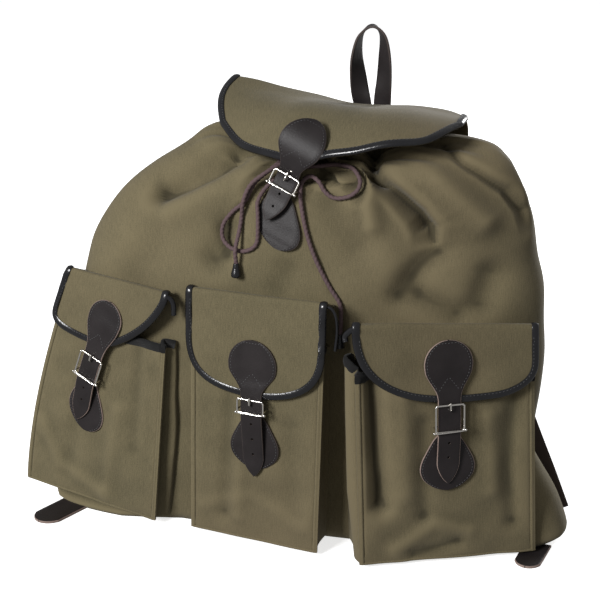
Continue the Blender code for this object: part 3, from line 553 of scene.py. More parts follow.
def tube(name, line, radius, sides, finish, plies=False, soft=None):
    """A round tube along a line. With plies it is twisted, one turn for each lay."""
    fine = even_line(line, 0.9 if plies else 1.2)
    size = np.full((len(fine), sides + 1), float(radius))
    if plies:
        turn = np.linspace(0, 2 * math.pi, sides + 1)[None, :]
        size *= 0.80 + 0.24 * np.abs(np.cos(turn - lengths_along(fine)[:, None] * 2 * math.pi / LAY))
    return lay_tube(name, rings(fine, directions(fine), (0.02, 1.0, 0.05), size, sides), [finish], soft=soft)


CORDS = {}
for side, route in (("left", LEFT_ROUTE), ("right", RIGHT_ROUTE)):
    line = cord_line(side, route)
    cord = tube(side + "_cord", line, CORD_RADIUS + 0.1, 14, cord_yarn, plies=True)
    place_piece(cord, "cord", side + "_drawcord")
    CORDS[side] = (cord, line)


# %% [markdown]
# ### The beads on the cord's ends
# A dark bead grips each end. It is turned: one half of its outline, spun round the cord's own direction.

# %% Beads
BEAD = [(-0.5, 0.0), (-0.5, 2.2), (1.0, 2.9), (4.0, 3.4), (8.0, 4.4), (10.5, 4.9), (12.0, 4.75), (13.2, 4.0)]
BEAD += [(13.8, 2.6), (13.4, 1.2), (13.3, 0.0)]


def turned(name, foot, direction, outline, finish, sides=28):
    """An outline of (height, radius), spun round a direction from a foot."""
    direction = unit(direction)
    first = unit(np.cross(direction, (0.3, 1.0, 0.1)))
    second = np.cross(direction, first)
    keys = even_line(outline, 0.5)
    turn = np.linspace(0, 2 * math.pi, sides + 1)[None, :, None]
    ring = np.cos(turn) * first + np.sin(turn) * second
    radius = np.maximum(keys[:, 1], 0.02)[:, None, None]
    points = np.asarray(foot) + keys[:, 0][:, None, None] * direction + ring * radius
    return lay_tube(name, points, [finish])


for side, (cord, line) in CORDS.items():
    node = frame["nodes"][side + "_cord_end"]
    middle = np.mean([vertex.co for vertex in node.data.vertices], axis=0) / MM
    bead = turned(side + "_bead", line[-1], middle - line[-1], BEAD, binding)
    place_piece(bead, "leather", side + "_cord_end")
    [float(value * MM) for value in line[0]]
    [[float(value * MM) for value in point] for point in line]

# %% [markdown]
# ## The body
# The sack is a loft of soft sections. Each row of the table is one section, a rounded oblong with its own
# depth to the front and the back. The folds are lines in the front view: a soft one swells or sinks, and a
# crease lifts one of its sides like cloth lapped over itself.

# %% Body sections
SECTION_Y = 15.0
BODY_COLUMNS = ("z", "middle", "half", "front", "back", "skew", "tilt", "saddle", "round")
BODY_ROWS = np.array(
    [
        (0, 5, 254, 52, 55, 0.13, 0, 0, 2.9),
        (6, 7, 266, 56, 59, 0.13, 0, 0, 2.8),
        (16, 7, 273, 58, 62, 0.13, 0, 0, 2.6),
        (46, 2, 267, 60, 70, 0.13, 0, 0, 2.4),
        (75, -5, 258, 62, 73, 0.13, 0, 0, 2.3),
        (99, -6, 248, 64, 75, 0.13, 0, 0, 2.3),
        (130, -3, 245, 66, 76, 0.13, 0, 0, 2.3),
        (180, 6, 241, 71, 78, 0.13, 0, 0, 2.3),
        (262, 13, 231, 79, 76, 0.13, 0, 0, 2.2),
        (300, 15, 222, 78, 72, 0.12, 0.02, 2, 2.2),
        (334, 24, 206, 73, 66, 0.11, 0.06, 5, 2.2),
        (360, 35, 183, 67, 58, 0.10, 0.10, 9, 2.2),
        (379, 47, 160, 60, 50, 0.09, 0.14, 13, 2.2),
        (389, 47, 140, 53, 45, 0.08, 0.19, 16, 2.2),
        (393, 37, 108, 45, 42, 0.06, 0.26, 14, 2.1),
        (393, 27, 50, 30, 33, 0, 0.33, 2, 2.0),
        (409, 26, 54, 32, 36, 0, 0.33, 0, 2.0),
    ]
)
# Soft folds: points of the line (x, z), how far it stands out or in, and its width.
SOFT_FOLDS = [
    ([(115, 400), (149, 385), (172, 364), (196, 342)], 9, 12),
    ([(190, 412), (240, 330)], 5, 14),
    ([(-42, 322), (-52, 296)], -8, 16),
    ([(84, 320), (62, 352)], -5, 18),
    ([(62, 378), (118, 300)], 5, 20),
    ([(160, 310), (140, 290)], -5, 20),
    ([(-40, 392), (-118, 350)], -13, 13),
    ([(-30, 372), (-105, 334)], 6, 16),
    ([(232, 92), (214, 128)], -9, 15),
    ([(158, 312), (144, 298), (126, 270)], -5, 11),
    ([(206, 290), (198, 262)], -8, 14),
    ([(146, 268), (176, 252)], -7, 13),
    ([(-46, 391), (-63, 374), (-91, 358), (-122, 348)], -6, 7),
    ([(-46, 322), (-40, 300)], -4, 7),
    ([(80, 398), (92, 388), (104, 378)], -10, 7),
    ([(70, 396), (82, 382), (94, 364), (100, 336)], 6, 8),
    ([(-150, 300), (-190, 250)], 3, 22),
    ([(-110, 320), (-140, 270)], -3, 20),
    ([(20, 290), (10, 272)], -2, 14),
]
# Creases: points of the line, how far its right side is lifted and how far that fades out, then how deep its
# left side sinks and how far that fades out.
CREASES = [
    ([(80, 396), (95, 386), (114, 375), (128, 365), (145, 351), (157, 336), (160, 318)], 6.0, 26, 34.0, 22),
    ([(137, 412), (159, 401), (189, 385), (210, 369), (225, 349), (235, 322)], 6.0, 20, 14.0, 8),
]


def line_distance(points, line):
    """How far each point of the front view is from a line, on which side, and how far along it lies."""
    best = np.full(points.shape[:-1], 1e9)
    side = np.zeros_like(best)
    place = np.zeros_like(best)
    line = np.asarray(line, float)
    count = len(line) - 1
    for i in range(count):
        step = line[i + 1] - line[i]
        to = points - line[i]
        t = np.clip((to @ step) / (step @ step), 0, 1)
        away = to - t[..., None] * step
        distance = np.linalg.norm(away, axis=-1)
        near = distance < best
        best = np.where(near, distance, best)
        turn = np.sign(to[..., 0] * -step[1] + to[..., 1] * step[0])
        side = np.where(near, turn, side)
        place = np.where(near, (i + t) / count, place)
    return best, side, place


def fold_push(front):
    """How far the folds move each point of the front view out of the body."""
    push = np.zeros(front.shape[:-1])
    for line, depth, width in SOFT_FOLDS:
        push += depth * np.exp(-((line_distance(front, line)[0] / width) ** 2))
    for line, lift, fade, cut, slope in CREASES:
        distance, side, place = line_distance(front, line)
        signed = distance * side
        ends = np.clip(np.minimum(place / 0.1, (1 - place) / 0.2), 0, 1)
        right = 0.5 + 0.5 * np.tanh(signed / 2.4)
        wide = slope * (0.4 + 0.8 * place)
        sunk = np.clip(1 + signed / wide, 0, 1) ** 1.2 * (0.5 + 0.6 * place)
        push += lift * ends * right * np.exp(-np.maximum(signed, 0) / fade)
        push -= cut * ends * (1 - right) * sunk
    return push


def ripple(front, seed, size, count=14, shortest=50.0, longest=150.0):
    """A soft unevenness of slack cloth: waves of fixed directions that add up to about a size."""
    dice = np.random.default_rng(seed)
    total = np.zeros(front.shape[:-1])
    for _ in range(count):
        wave = dice.uniform(shortest, longest)
        heading = dice.uniform(0, math.pi)
        phase = dice.uniform(0, 2 * math.pi)
        total += np.sin((front @ (math.cos(heading), math.sin(heading))) * 2 * math.pi / wave + phase)
    return total * size / math.sqrt(count)


# %% Body shell
# The back is plain, so it has fewer columns than the folded front.
BACK_COLUMNS = 70
FRONT_COLUMNS = 190
# How far beside a cord, in millimetres, it still presses on the cloth.
PRESS_REACH = 16


def body_places():
    """Places on the table's rows that are about as far apart as the front's columns."""
    steps = np.abs(np.diff(BODY_ROWS[:, 0])) + 0.6 * np.abs(np.diff(BODY_ROWS[:, 2]))
    places = [0.0]
    for i, step in enumerate(steps):
        count = max(int(round(step / 3.4)), 2)
        places += [i + (k + 1) / count for k in range(count)]
    return np.array(places)


def press_cords_in(points):
    """Pushes the cloth back where a cord lies on it, and beside the cord by less and less."""
    pressed = [0.0]
    for _, line in CORDS.values():
        near = np.abs(points[..., None, ::2] - line[None, None, ::4, ::2]).max(-1) < PRESS_REACH
        for r, c in np.argwhere(near.any(-1) & (points[..., 1] < SECTION_Y)):
            away = np.linalg.norm(line[:, ::2] - points[r, c, ::2], axis=1)
            held = line[:, 1] + CORD_RADIUS + 0.3 - 0.3 * np.maximum(away - 2.5, 0)
            held = np.where(away < PRESS_REACH, held, -200).max()
            share = np.clip((PRESS_REACH - away.min()) / 11, 0, 1)
            pressed.append(max(held - points[r, c, 1], 0) * share**2 * (3 - 2 * share))
            points[r, c, 1] += pressed[-1]
    print("the cords press the cloth in by up to", round(max(pressed), 1), "mm")


def body_points():
    """The sack as a grid: its sections, pushed out and in by folds, slack and gathers."""
    places = body_places()
    row = dict(zip(BODY_COLUMNS, smooth_line(BODY_ROWS, places).T[:, :, None]))
    back_turns = np.linspace(0, math.pi, BACK_COLUMNS + 1)[:-1]
    front_turns = np.linspace(math.pi, 2 * math.pi, FRONT_COLUMNS + 1)
    turn = np.concatenate([back_turns, front_turns])[None, :]
    depth = np.where(np.sin(turn) > 0, row["back"], row["front"])
    power = 2 / row["round"]
    across = np.sign(np.cos(turn)) * np.abs(np.cos(turn)) ** power
    along = np.sign(np.sin(turn)) * np.abs(np.sin(turn)) ** power
    x = row["middle"] + row["half"] * across
    y = SECTION_Y + row["skew"] * x + depth * along
    z = row["z"] + row["tilt"] * depth * along + row["saddle"] * across**2
    points = np.stack([x, y, np.maximum(z, 0)], 2)
    wrapped = np.concatenate([points[:, -2:-1], points, points[:, 1:2]], 1)
    normal = unit_rows(np.cross(np.gradient(wrapped, axis=1)[:, 1:-1], np.gradient(points, axis=0)))
    front = points[..., [0, 2]]
    place = places[:, None]
    facing = np.clip(0.2 - 2.4 * normal[..., 1], 0, 1)
    gathered = np.clip((place - 11.4) / 4.6, 0, 1) ** 1.5
    pleats = np.where(turn < math.pi, np.cos(4 * turn), np.cos(12 * (turn - math.pi)))
    fine = np.cos(np.where(turn < math.pi, 10 * turn, 30 * (turn - math.pi)) + 1.0)
    push = fold_push(front) * facing
    push *= 1 - np.where(push > 0, 0.5, 0.15) * np.clip((place - 12.0) / 1.5, 0, 1)
    slack = ripple(front, 4, 0.9) * np.clip(points[..., 2] / 60, 0, 1)
    push += slack + gathered * (6.0 * pleats + 1.6 * fine)
    push = np.where(place < 1.0, push * place * 0.5, push)
    points = points + normal * push[..., None]
    sag = np.clip((13 - points[..., 2]) / 9, 0, 1) * np.clip((-105 - points[..., 0]) / 60, 0, 1)
    points[..., 1] -= 16 * sag * np.clip(-2 * normal[..., 1], 0, 1)
    press_cords_in(points)
    points[..., 2] = np.maximum(points[..., 2], 0)
    points[0, :, 2] = 0
    return points


body_grid = body_points()
threads = np.stack([body_grid @ (1.0, 0.7, 0.0), body_grid @ (0.0, 0.3, 1.0)], 2) * MM
body = lay_grid("canvas_body", body_grid, [canvas], cloth=threads)
edit_all(body, MERGE)
base = bmesh.new()
base.from_mesh(body.data)
bottom = [edge for edge in base.edges if edge.is_boundary and edge.verts[0].co.z < 0.001]
bmesh.ops.contextual_create(base, geom=bottom)
base.to_mesh(body.data)
base.free()
edit_all(body, OUTWARDS)
outside = surface_of(body)
if sum(body.data.polygons[i].normal.dot(body.data.polygons[i].center) for i in range(0, 20000, 500)) < 0:
    edit_all(body, (bpy.ops.mesh.flip_normals, {}))
apply(body, "SOLIDIFY", thickness=CANVAS_THICK * MM, offset=-1.0)
place_piece(body, "canvas", "bag_body")

# %% [markdown]
# ## Pockets
# Each pocket is a flat front panel with two pleated sides, called bellows, and a floor. The panel's edges
# are sewn to the bellows in a narrow raised seam. The corners of the panels are the model's own.

# %% Pocket panels
# Each panel: its two lower and two upper corners, the part of its height that the mouth is at, and how far its
# left edge swells.
PANELS = {
    "left": ((-287, -52, 16), (-122, -78, 8), (-216, -56, 264), (-97, -80, 259), 0.775, 10),
    "centre": ((-80, -70, 5), (56, -74, 4), (-72, -73, 266), (66, -79, 267), 0.80, 0),
    "right": ((108, -82, 5), (256, 10, 5), (101, -88, 255), (244, 2, 244), 0.79, 0),
}
# Each pocket's bellows: the directions (x, y) back to the body on the left and the right, and how far they turn
# towards the top.
BELLOWS = {
    "left": ((0.72, 0.69), (0.16, 0.98), 0.5),
    "centre": ((0.10, 0.99), (-0.10, 0.99), 0),
    "right": ((-0.52, 0.85), (-0.52, 0.85), 0),
}


def panel_corners(name):
    return [np.array(corner, float) for corner in PANELS[name][:4]]


def panel_normal(name):
    low_left, low_right, top_left, _ = panel_corners(name)
    return unit(np.cross(low_right - low_left, top_left - low_left))


def panel_point(name, across, up, out=0.0):
    """Points on a pocket's front panel, across and up from 0 to 1, standing out by some millimetres."""
    low_left, low_right, top_left, top_right = panel_corners(name)
    across = np.asarray(across, float)[..., None]
    up = np.asarray(up, float)[..., None]
    low = low_left + (low_right - low_left) * across
    top = top_left + (top_right - top_left) * across
    height = np.clip(up, 0, 1)
    crown = 3.0 * (1 - (2 * across - 1) ** 2) * np.sin(math.pi * height)
    belly = PANELS[name][5] * np.maximum(1 - across, 0) ** 2 * np.sin(math.pi * height**0.8)
    out = np.asarray(out, float)[..., None] if np.ndim(out) else out
    return low + (top - low) * up + panel_normal(name) * (crown + out) - unit(top_right - top_left) * belly


def back_direction(name, across, up=0.0):
    """The direction in which a pocket's side runs back to the body."""
    left, right, turn = BELLOWS[name]
    x = left[0] + (right[0] - left[0]) * across
    y = left[1] + (right[1] - left[1]) * across
    return unit((x * (1 - turn * up), y, 0))


# Creases that slack cloth makes in each panel: points (across, up) of the line, depth and width in
# millimetres.
PANEL_FOLDS = {
    "left": [
        ([(0.3, 0.1), (0.34, 0.5)], -2.5, 12),
        ([(0.62, 0.05), (0.66, 0.45)], 2.0, 10),
        ([(0.78, 0.72), (0.8, 0.3)], -2.2, 9),
        ([(0.05, 0.3), (0.25, 0.12), (0.6, 0.06)], 1.6, 8),
    ],
    "centre": [
        ([(0.3, 0.62), (0.26, 0.1)], -3.0, 9),
        ([(0.4, 0.5), (0.38, 0.1)], 1.8, 8),
        ([(0.78, 0.5), (0.82, 0.15)], -2.6, 12),
        ([(0.1, 0.12), (0.5, 0.2), (0.9, 0.1)], 1.5, 9),
    ],
    "right": [
        ([(0.08, 0.95), (0.1, 0.5), (0.12, 0.25)], -13.0, 9),
        ([(0.25, 0.7), (0.25, 0.3)], 3.0, 10),
        ([(0.37, 0.6), (0.36, 0.2)], -3.0, 9),
        ([(0.9, 0.75), (0.86, 0.4), (0.88, 0.15)], -5.0, 10),
        ([(0.74, 0.62), (0.76, 0.3)], 3.0, 10),
        ([(0.2, 0.06), (0.42, 0.16), (0.62, 0.12)], 3.0, 8),
        ([(0.3, 0.03), (0.55, 0.07)], -2.5, 7),
    ],
}


def panel_push(name, across, up):
    """How far each place of a panel stands out, by its folds and its slack."""
    low_left, low_right, top_left, _ = panel_corners(name)
    size = np.array([np.linalg.norm(low_right - low_left), np.linalg.norm(top_left - low_left)])
    place = np.stack(np.broadcast_arrays(across, up), -1) * size
    push = ripple(place, len(name) + 20, 0.6, shortest=30.0, longest=90.0)
    for line, depth, width in PANEL_FOLDS[name]:
        push += depth * np.exp(-((line_distance(place, np.array(line) * size)[0] / width) ** 2))
    edge = np.clip(np.minimum(across, 1 - across) * 16, 0, 1)
    return push * edge


# %% Pocket shells
# How far the side cloth stands out sideways on its way back: (share of the way, millimetres outwards).
SIDE_FOLDS = {
    ("left", 0): [(0, 0), (0.2, -2), (0.5, -4), (0.8, -2), (1, 0)],
    ("left", 1): [(0, 0), (0.12, -4.5), (0.36, -5.5), (0.55, 2), (0.72, 9.5), (0.8, 10), (1, 9)],
    ("centre", 0): [(0, 0), (0.2, -2), (0.5, -4), (0.8, -2), (1, 0)],
    ("centre", 1): [(0, 0), (0.15, -4), (0.5, -6), (0.85, -3), (1, 0)],
    ("right", 0): [(0, 0), (0.03, -1.5), (0.08, 3), (0.2, 8), (0.3, 8.5), (0.45, 3), (0.7, -2), (1, 0)],
    ("right", 1): [(0, 0), (0.2, -2), (0.5, -4), (0.8, -2), (1, 0)],
}
# How much higher the side cloth reaches at the mouth than the panel, in millimetres.
MOUTH_RISE = {"left": (2, 4), "centre": (2, 2), "right": (15, 3)}
# The raised seam beside a panel's edge: distance in from the edge and how far it stands out, in millimetres.
SEAM = [(0.3, 0.5), (0.8, 0.8), (1.4, 0.75), (2.0, 0.1), (2.5, -0.6), (3.1, -0.55), (4.2, -0.1), (6.5, 0)]


def bellows_rows(name, side, ups):
    """For each height, points from the panel's edge back to the body, along one pleated side."""
    low_left, low_right = panel_corners(name)[:2]
    outward = unit((low_right - low_left) * (1, 1, 0)) * (-1 if side == 0 else 1)
    corners = panel_point(name, np.full(len(ups), float(side)), ups)
    backs = [back_direction(name, side, up) for up in ups]
    share, stand = np.array(SIDE_FOLDS[name, side]).T
    runs = []
    for corner, back in zip(corners, backs):
        start = corner + outward * stand[-1]
        near = [reach(outside, start + UP * z, back, 60.0) for z in (-4, 0, 4) if corner[2] + z > 1]
        runs.append(min(near))
    runs = even_out(runs, 2) + 0.3
    places = np.concatenate([[0.02, 0.045], np.linspace(0.08, 1, 21)])
    rows = []
    for corner, back, run, up in zip(corners, backs, runs, ups):
        fold = smooth_line(stand, np.interp(places, share, np.arange(len(share))))
        fold = fold * min(run / 25, 1.0) * min(0.35 + up * 2.2, 1.0)
        points = corner + back * (run * places)[:, None] + outward * fold[:, None]
        height = MOUTH_RISE[name][side] * max(up / PANELS[name][4] - 0.8, 0) * 5
        points = points + UP * (height * np.sin(math.pi * places**0.6))[:, None]
        tip = corner + outward * 1.6 + panel_normal(name) * 0.3
        rows.append(np.concatenate([[tip, corner + outward * 1.5 + back * 1.0], points]))
    return np.array(rows)


# How many points the back edge of a pocket's floor has, and how thick a pocket's wall is.
FLOOR_POINTS = 16
POCKET_THICK = 1.8


def make_pocket(name):
    """A pocket's panel with both its bellows as one grid, and its floor as one face."""
    rim = PANELS[name][4]
    low_left, low_right, top_left, _ = panel_corners(name)
    wide, high = np.linalg.norm(low_right - low_left), np.linalg.norm(top_left - low_left)
    seam, lift = np.array(SEAM).T
    ups = np.concatenate([[0], seam / high, np.linspace(0.045, rim, 60)])
    across = np.concatenate([seam / wide, np.linspace(0.075, 0.925, 60), 1 - seam[::-1] / wide])
    sides = bellows_rows(name, 0, ups), bellows_rows(name, 1, ups)
    u, v = np.meshgrid(across, ups)
    edge = np.minimum(u, 1 - u) * wide
    ridge = np.interp(edge, seam, lift)
    ridge = np.where(v * high < 8, np.maximum(ridge, np.interp(v * high, seam, lift)), ridge)
    front = panel_point(name, u, v, panel_push(name, u, v) + ridge)
    grid = np.concatenate([sides[0][:, ::-1], front, sides[1]], 1)
    piece = lay_grid(name + "_pocket_canvas", grid, [canvas])
    shell = bmesh.new()
    shell.from_mesh(piece.data)
    order = {tuple(np.round(point * MM, 6)): i for i, point in enumerate(grid[0])}
    found = {v: order.get(tuple(np.round(np.array(v.co), 6))) for v in shell.verts if v.is_boundary}
    line = sorted((v for v, place in found.items() if place is not None), key=found.get)
    behind = []
    for place in np.linspace(0.97, 0.03, FLOOR_POINTS):
        start = panel_point(name, place, 0.0)
        back = back_direction(name, place)
        run = min(reach(outside, start + UP * z, back, 60.0) for z in (0.0, 2.0))
        behind.append(shell.verts.new(Vector(((start + back * (run - 0.9)) * MM).tolist())))
    shell.faces.new([*line, *behind])
    shell.to_mesh(piece.data)
    shell.free()
    wear_and_shade_layer = piece.data.attributes["wear_and_shade"]
    for vertex in range(len(wear_and_shade_layer.data) - FLOOR_POINTS, len(wear_and_shade_layer.data)):
        wear_and_shade_layer.data[vertex].value = 0.5
    piece.data.polygons[-1].use_smooth = False
    apply(piece, "SOLIDIFY", thickness=POCKET_THICK * MM, offset=0.0)
    soften(piece, 55)
    place_piece(piece, "canvas", name + "_pocket")
    return grid


pockets = {name: make_pocket(name) for name in PANELS}

# %% [markdown]
# ## Bound edges
# The flaps and the lid have a strip of black leather folded over their edge and stitched through, and the
# pockets' mouths a dark tape. The strip is a rounded section carried along the edge, and the stitches are
# one small stitch, modelled once and copied along a line.


# %% Binding and stitches
# A folded strip's leg and how thick it is, and a stitch's length, gap and radius.
EDGE_BINDING = (5.8, 2.3)
MOUTH_TAPE = (7.2, 1.9)
EDGE_STITCH = (2.2, 1.4, 0.26)


def bound_section(leg, thick):
    """Outline of a folded strip, from its inner edge round the cloth's edge. x points out of the cloth."""
    upper = [(-leg, thick - 1.1), (-leg - 0.1, thick - 0.6), (-leg + 0.5, thick - 0.2)]
    upper += [(-leg * 0.6, thick + 0.3), (-leg * 0.25, thick + 0.35), (0.3, thick - 0.2)]
    upper += [(1.1, thick * 0.55), (1.45, 0.0)]
    lower = [(x, -y) for x, y in reversed(upper[:-1])]
    return np.array(upper + lower + upper[:1])


def edge_axes(points, normals, inner):
    """The outward and the normal direction at each point of an edge."""
    along = directions(points)
    normals = square_to(along, normals)
    out = np.cross(along, normals)
    flip = np.sign((out * (points - inner)).sum(1, keepdims=True))
    return out * np.where(flip == 0, 1, flip), normals


def bind(name, points, normals, inner, size, finish, slot, replaced):
    """A folded strip along an edge. size is its leg and how thick it is."""
    grid = sweep(points, bound_section(*size), *edge_axes(points, normals, inner))
    return place_piece(lay_tube(name, grid, [finish], soft=60), slot, replaced)


def one_stitch(length, radius):
    """A single stitch: a small rod along X with its ends sunk."""
    along_x = (0, math.pi / 2, 0)
    bpy.ops.mesh.primitive_cylinder_add(vertices=5, radius=radius, depth=length * 0.62, rotation=along_x)
    rod = bpy.context.object
    bpy.ops.object.transform_apply(location=True, rotation=True, scale=True)
    mesh = rod.data
    points = np.array([vertex.co for vertex in mesh.vertices])
    faces = [tuple(polygon.vertices) for polygon in mesh.polygons if len(polygon.vertices) == 4]
    ends = []
    for sign in (-1, 1):
        ring = [i for i, point in enumerate(points) if point[0] * sign > 0]
        tip = len(points)
        points = np.concatenate([points, [(sign * length * 0.5, 0, -radius * 1.3)]])
        edges = [(a, b) for face in faces for a, b in zip(face, face[1:] + face[:1])]
        ends += [(b, a, tip) for a, b in edges if a in ring and b in ring]
    bpy.data.objects.remove(rod, do_unlink=True)
    return points, faces + ends


def sew(name, lines, slot, size):
    """Rows of stitches along lines of (points, normals). size is a stitch's length, gap and radius."""
    length, gap, radius = size
    points, faces = one_stitch(length, radius)
    all_points = []
    all_faces = []
    for line, normals in lines:
        line = np.asarray(line, float)
        normals = np.asarray(normals, float)
        place = lengths_along(line)
        starts = np.arange(gap, place[-1] - length, length + gap) + length / 2

        def at(where, values):
            return np.stack([np.interp(where, place, values[:, k]) for k in range(3)], 1)

        middle = at(starts, line)
        along = unit_rows(at(starts + 0.8, line) - at(starts - 0.8, line))
        normal = square_to(along, at(starts, normals))
        side = np.cross(normal, along)
        for centre, x, y, z in zip(middle, along, side, normal):
            start = sum(len(block) for block in all_points)
            all_points.append(centre + points[:, :1] * x + points[:, 1:2] * y + points[:, 2:] * z)
            all_faces += [tuple(start + i for i in face) for face in faces]
    mesh = bpy.data.meshes.new(name)
    mesh.from_pydata((np.concatenate(all_points) * MM).tolist(), [], all_faces)
    mesh.materials.append(grey_thread)
    mesh.shade_smooth()
    piece = bpy.data.objects.new(name, mesh)
    bpy.context.scene.collection.objects.link(piece)
    edit_all(piece, OUTWARDS)
    return place_piece(piece, slot)


# %% [markdown]
# ## Flaps
# A flap is one piece of canvas: sewn to the body, folded forward over the pocket's top, and hanging in front
# with a round lower edge.

# %% Flap cloth
# Each flap: how far it drops in the middle, at its left and at its right, and how square its two corners are.
FLAPS = {
    "left": (70, 42, 6, 2.6, 1.35),
    "centre": (101, 44, 46, 2.6, 2.6),
    "right": (76, 6, 34, 2.4, 2.6),
}


def flap_column(name, turn):
    """One line of a flap from the body to its lower edge: keys of its top, and of what hangs in front."""
    drop_most, drop_left, drop_right, round_left, round_right = FLAPS[name]
    low_left, _, top_left, top_right = panel_corners(name)
    spare = 4.0 / np.linalg.norm(top_right - top_left)
    height = top_left[2] - low_left[2]
    power = 2 / (round_left if turn < 0 else round_right)
    u = math.copysign(abs(math.sin(turn)) ** power, math.sin(turn))
    side = drop_left if turn < 0 else drop_right
    drop = side + (drop_most - side) * abs(math.cos(turn)) ** power
    across = 0.5 + u * (0.5 + spare)
    back = unit(back_direction(name, min(max(across, 0.0), 1.0)) * 0.5 + BACK * 0.5)
    crest = panel_point(name, across, 1.0, 5.8)
    to_body = unit(back - UP * 0.32)
    run = min(reach(outside, crest + UP * z, to_body, 40.0) for z in (-2, 0, 2)) - 0.6
    keys = [crest + to_body * run, crest + to_body * (8 + (run - 8) * 0.7)]
    keys += [crest + back * 6.0 - UP * 0.6, crest + back * 2.2 + UP * 0.4, crest + back * 0.4 - UP * 1.6]
    face = [panel_point(name, across, 1 - (5 + (drop - 5) * k / 4) / height, 5.8) for k in range(5)]
    return keys, face


def make_flap(name):
    """A flap over its pocket. Returns its grid."""
    turns = math.pi * (np.linspace(0, 1, 85) - 0.5)
    columns = []
    for turn in turns:
        keys, face = flap_column(name, turn)
        top = smooth_line(keys + face[:1], np.concatenate([np.linspace(0, 2, 9)[:-1], np.linspace(2, 5, 16)]))
        columns.append(np.concatenate([top, smooth_line(face, np.linspace(0, 4, 34)[1:])]))
    grid = np.array(columns).transpose(1, 0, 2)
    normal = panel_normal(name)
    _, _, top_left, top_right = panel_corners(name)
    right = unit(top_right - top_left)
    flat = np.stack([grid @ right, grid[..., 2]], -1)
    share = np.clip((np.arange(len(grid)) - 22) / 12, 0, 1)[:, None]
    grid = grid + normal * (ripple(flat, len(name) + 40, 0.7, shortest=35.0, longest=80.0) * share)[..., None]
    crest = np.exp(-(((np.arange(len(grid)) - 18) / 9.0) ** 2))[:, None]
    grid[..., 2] += crest * (ripple(flat, len(name) + 80, 1.0, shortest=60.0, longest=130.0) - 0.6)
    piece = lay_grid(name + "_flap_canvas", grid, [canvas])
    apply(piece, "SOLIDIFY", thickness=CANVAS_THICK * MM, offset=0.0)
    place_piece(piece, "canvas", name + "_flap")
    return grid


def edge_of(grid, start):
    """The left side, lower edge and right side of a grid, with its normals and the points just inside."""
    rows, columns = grid.shape[:2]
    normal = grid_normals(grid)
    path = [(r, 0) for r in range(start, rows - 1)]
    path += [(rows - 1, c) for c in range(columns)]
    path += [(r, columns - 1) for r in range(rows - 2, start - 1, -1)]
    r, c = np.array(path).T
    inside = grid[np.minimum(r, rows - 5), np.clip(c, 4, columns - 5)]
    return grid[r, c], normal[r, c], inside


def thin_out(points, *others, step=1.6):
    """Points of a line at least a step apart, with the matching rows of other arrays."""
    keep = [0]
    for i in range(1, len(points)):
        if np.linalg.norm(points[i] - points[keep[-1]]) >= step:
            keep.append(i)
    return [values[keep] for values in (points, *others)]


def bind_edge(name, grid, start, face, bare, replaced):
    """A stitched binding round a grid, from row start on. face is the side of its stitches, bare the number
    of points at each end that have none."""
    points, normals, inner = thin_out(*edge_of(grid, start))
    bind(name, points, normals, inner, EDGE_BINDING, binding, "leather_binding", replaced)
    out, normal = edge_axes(points, normals, inner)
    normal = normal * np.sign((normal * face).sum(1, keepdims=True) + 1e-6)
    sewn = points - out * 4.6 + normal * 2.5
    sew(name + "_stitches", [(sewn[bare:-bare], normal[bare:-bare])], "leather_binding", EDGE_STITCH)


flaps = {}
for name in FLAPS:
    flaps[name] = make_flap(name)
    bind_edge(name + "_flap_edge", flaps[name], 9, panel_normal(name), 6, name + "_flap_binding")

# %% Loose ends of the flap bindings
# Each end starts at a corner of a flap's crest: the flap, its side, the route from the corner and the
# radius.
LOOSE_ENDS = [
    ("left", -1, [(-1, 0, -1), (3, 2, -4), (5, 3, -10), (5, 3, -20)], 2.6),
    ("centre", -1, [(-1, 2, -1), (5, 3, -3), (9, 4, -12), (10, 4, -26), (8, 4, -44)], 1.5),
    ("right", 0, [(1, 0, -1), (-4, 1, -5), (-8, 1, -10), (-7, 0, -15)], 2.8),
]
for name, side, route, radius in LOOSE_ENDS:
    corner = flaps[name][17, side]
    piece = tube(name + "_flap_edge_end", corner + np.array(route, float), radius, 14, binding, soft=60)
    place_piece(piece, "leather_binding")

# %% Mouth tapes
for name, grid in pockets.items():
    rim = grid[-1]
    inner = grid[-6]
    across = np.gradient(grid, axis=1)[-1]
    along = grid[-1] - grid[-4]
    normals = np.cross(across, along)
    first = 4 if name != "left" else 14
    rim, inner, normals = thin_out(rim[first:-4], inner[first:-4], normals[first:-4], step=1.2)
    bind(name + "_mouth_tape", rim, normals, inner, MOUTH_TAPE, tape, "mouth_tape", name + "_mouth_binding")

# %% [markdown]
# ## Lid
# The lid is a crowned piece of canvas, sewn down the back below its ridge and draped over the gathered
# mouth.

# %% Lid cloth
LID_COLUMNS = ("x_back", "z_back", "x_front", "y_front", "z_front", "rise", "bulge")
LID_STATIONS = np.array(
    [
        (-85, 450, -72, -2, 412, 2, 9),
        (-62, 448, -42, -27, 399, 8, 5),
        (-30, 442, -6, -44, 394, 15, 1),
        (4, 437, 28, -54, 393, 22, 0),
        (40, 431, 64, -58, 402, 20, 0),
        (80, 431, 98, -56, 410, 16, 0),
        (112, 432, 127, -48, 415, 12, 0),
        (139, 430, 152, -34, 420, 7, 0),
        (158, 424, 168, 8, 428, 2, -2),
    ]
)


# How far behind the origin a ray starts, in millimetres.
BEHIND = 200.0


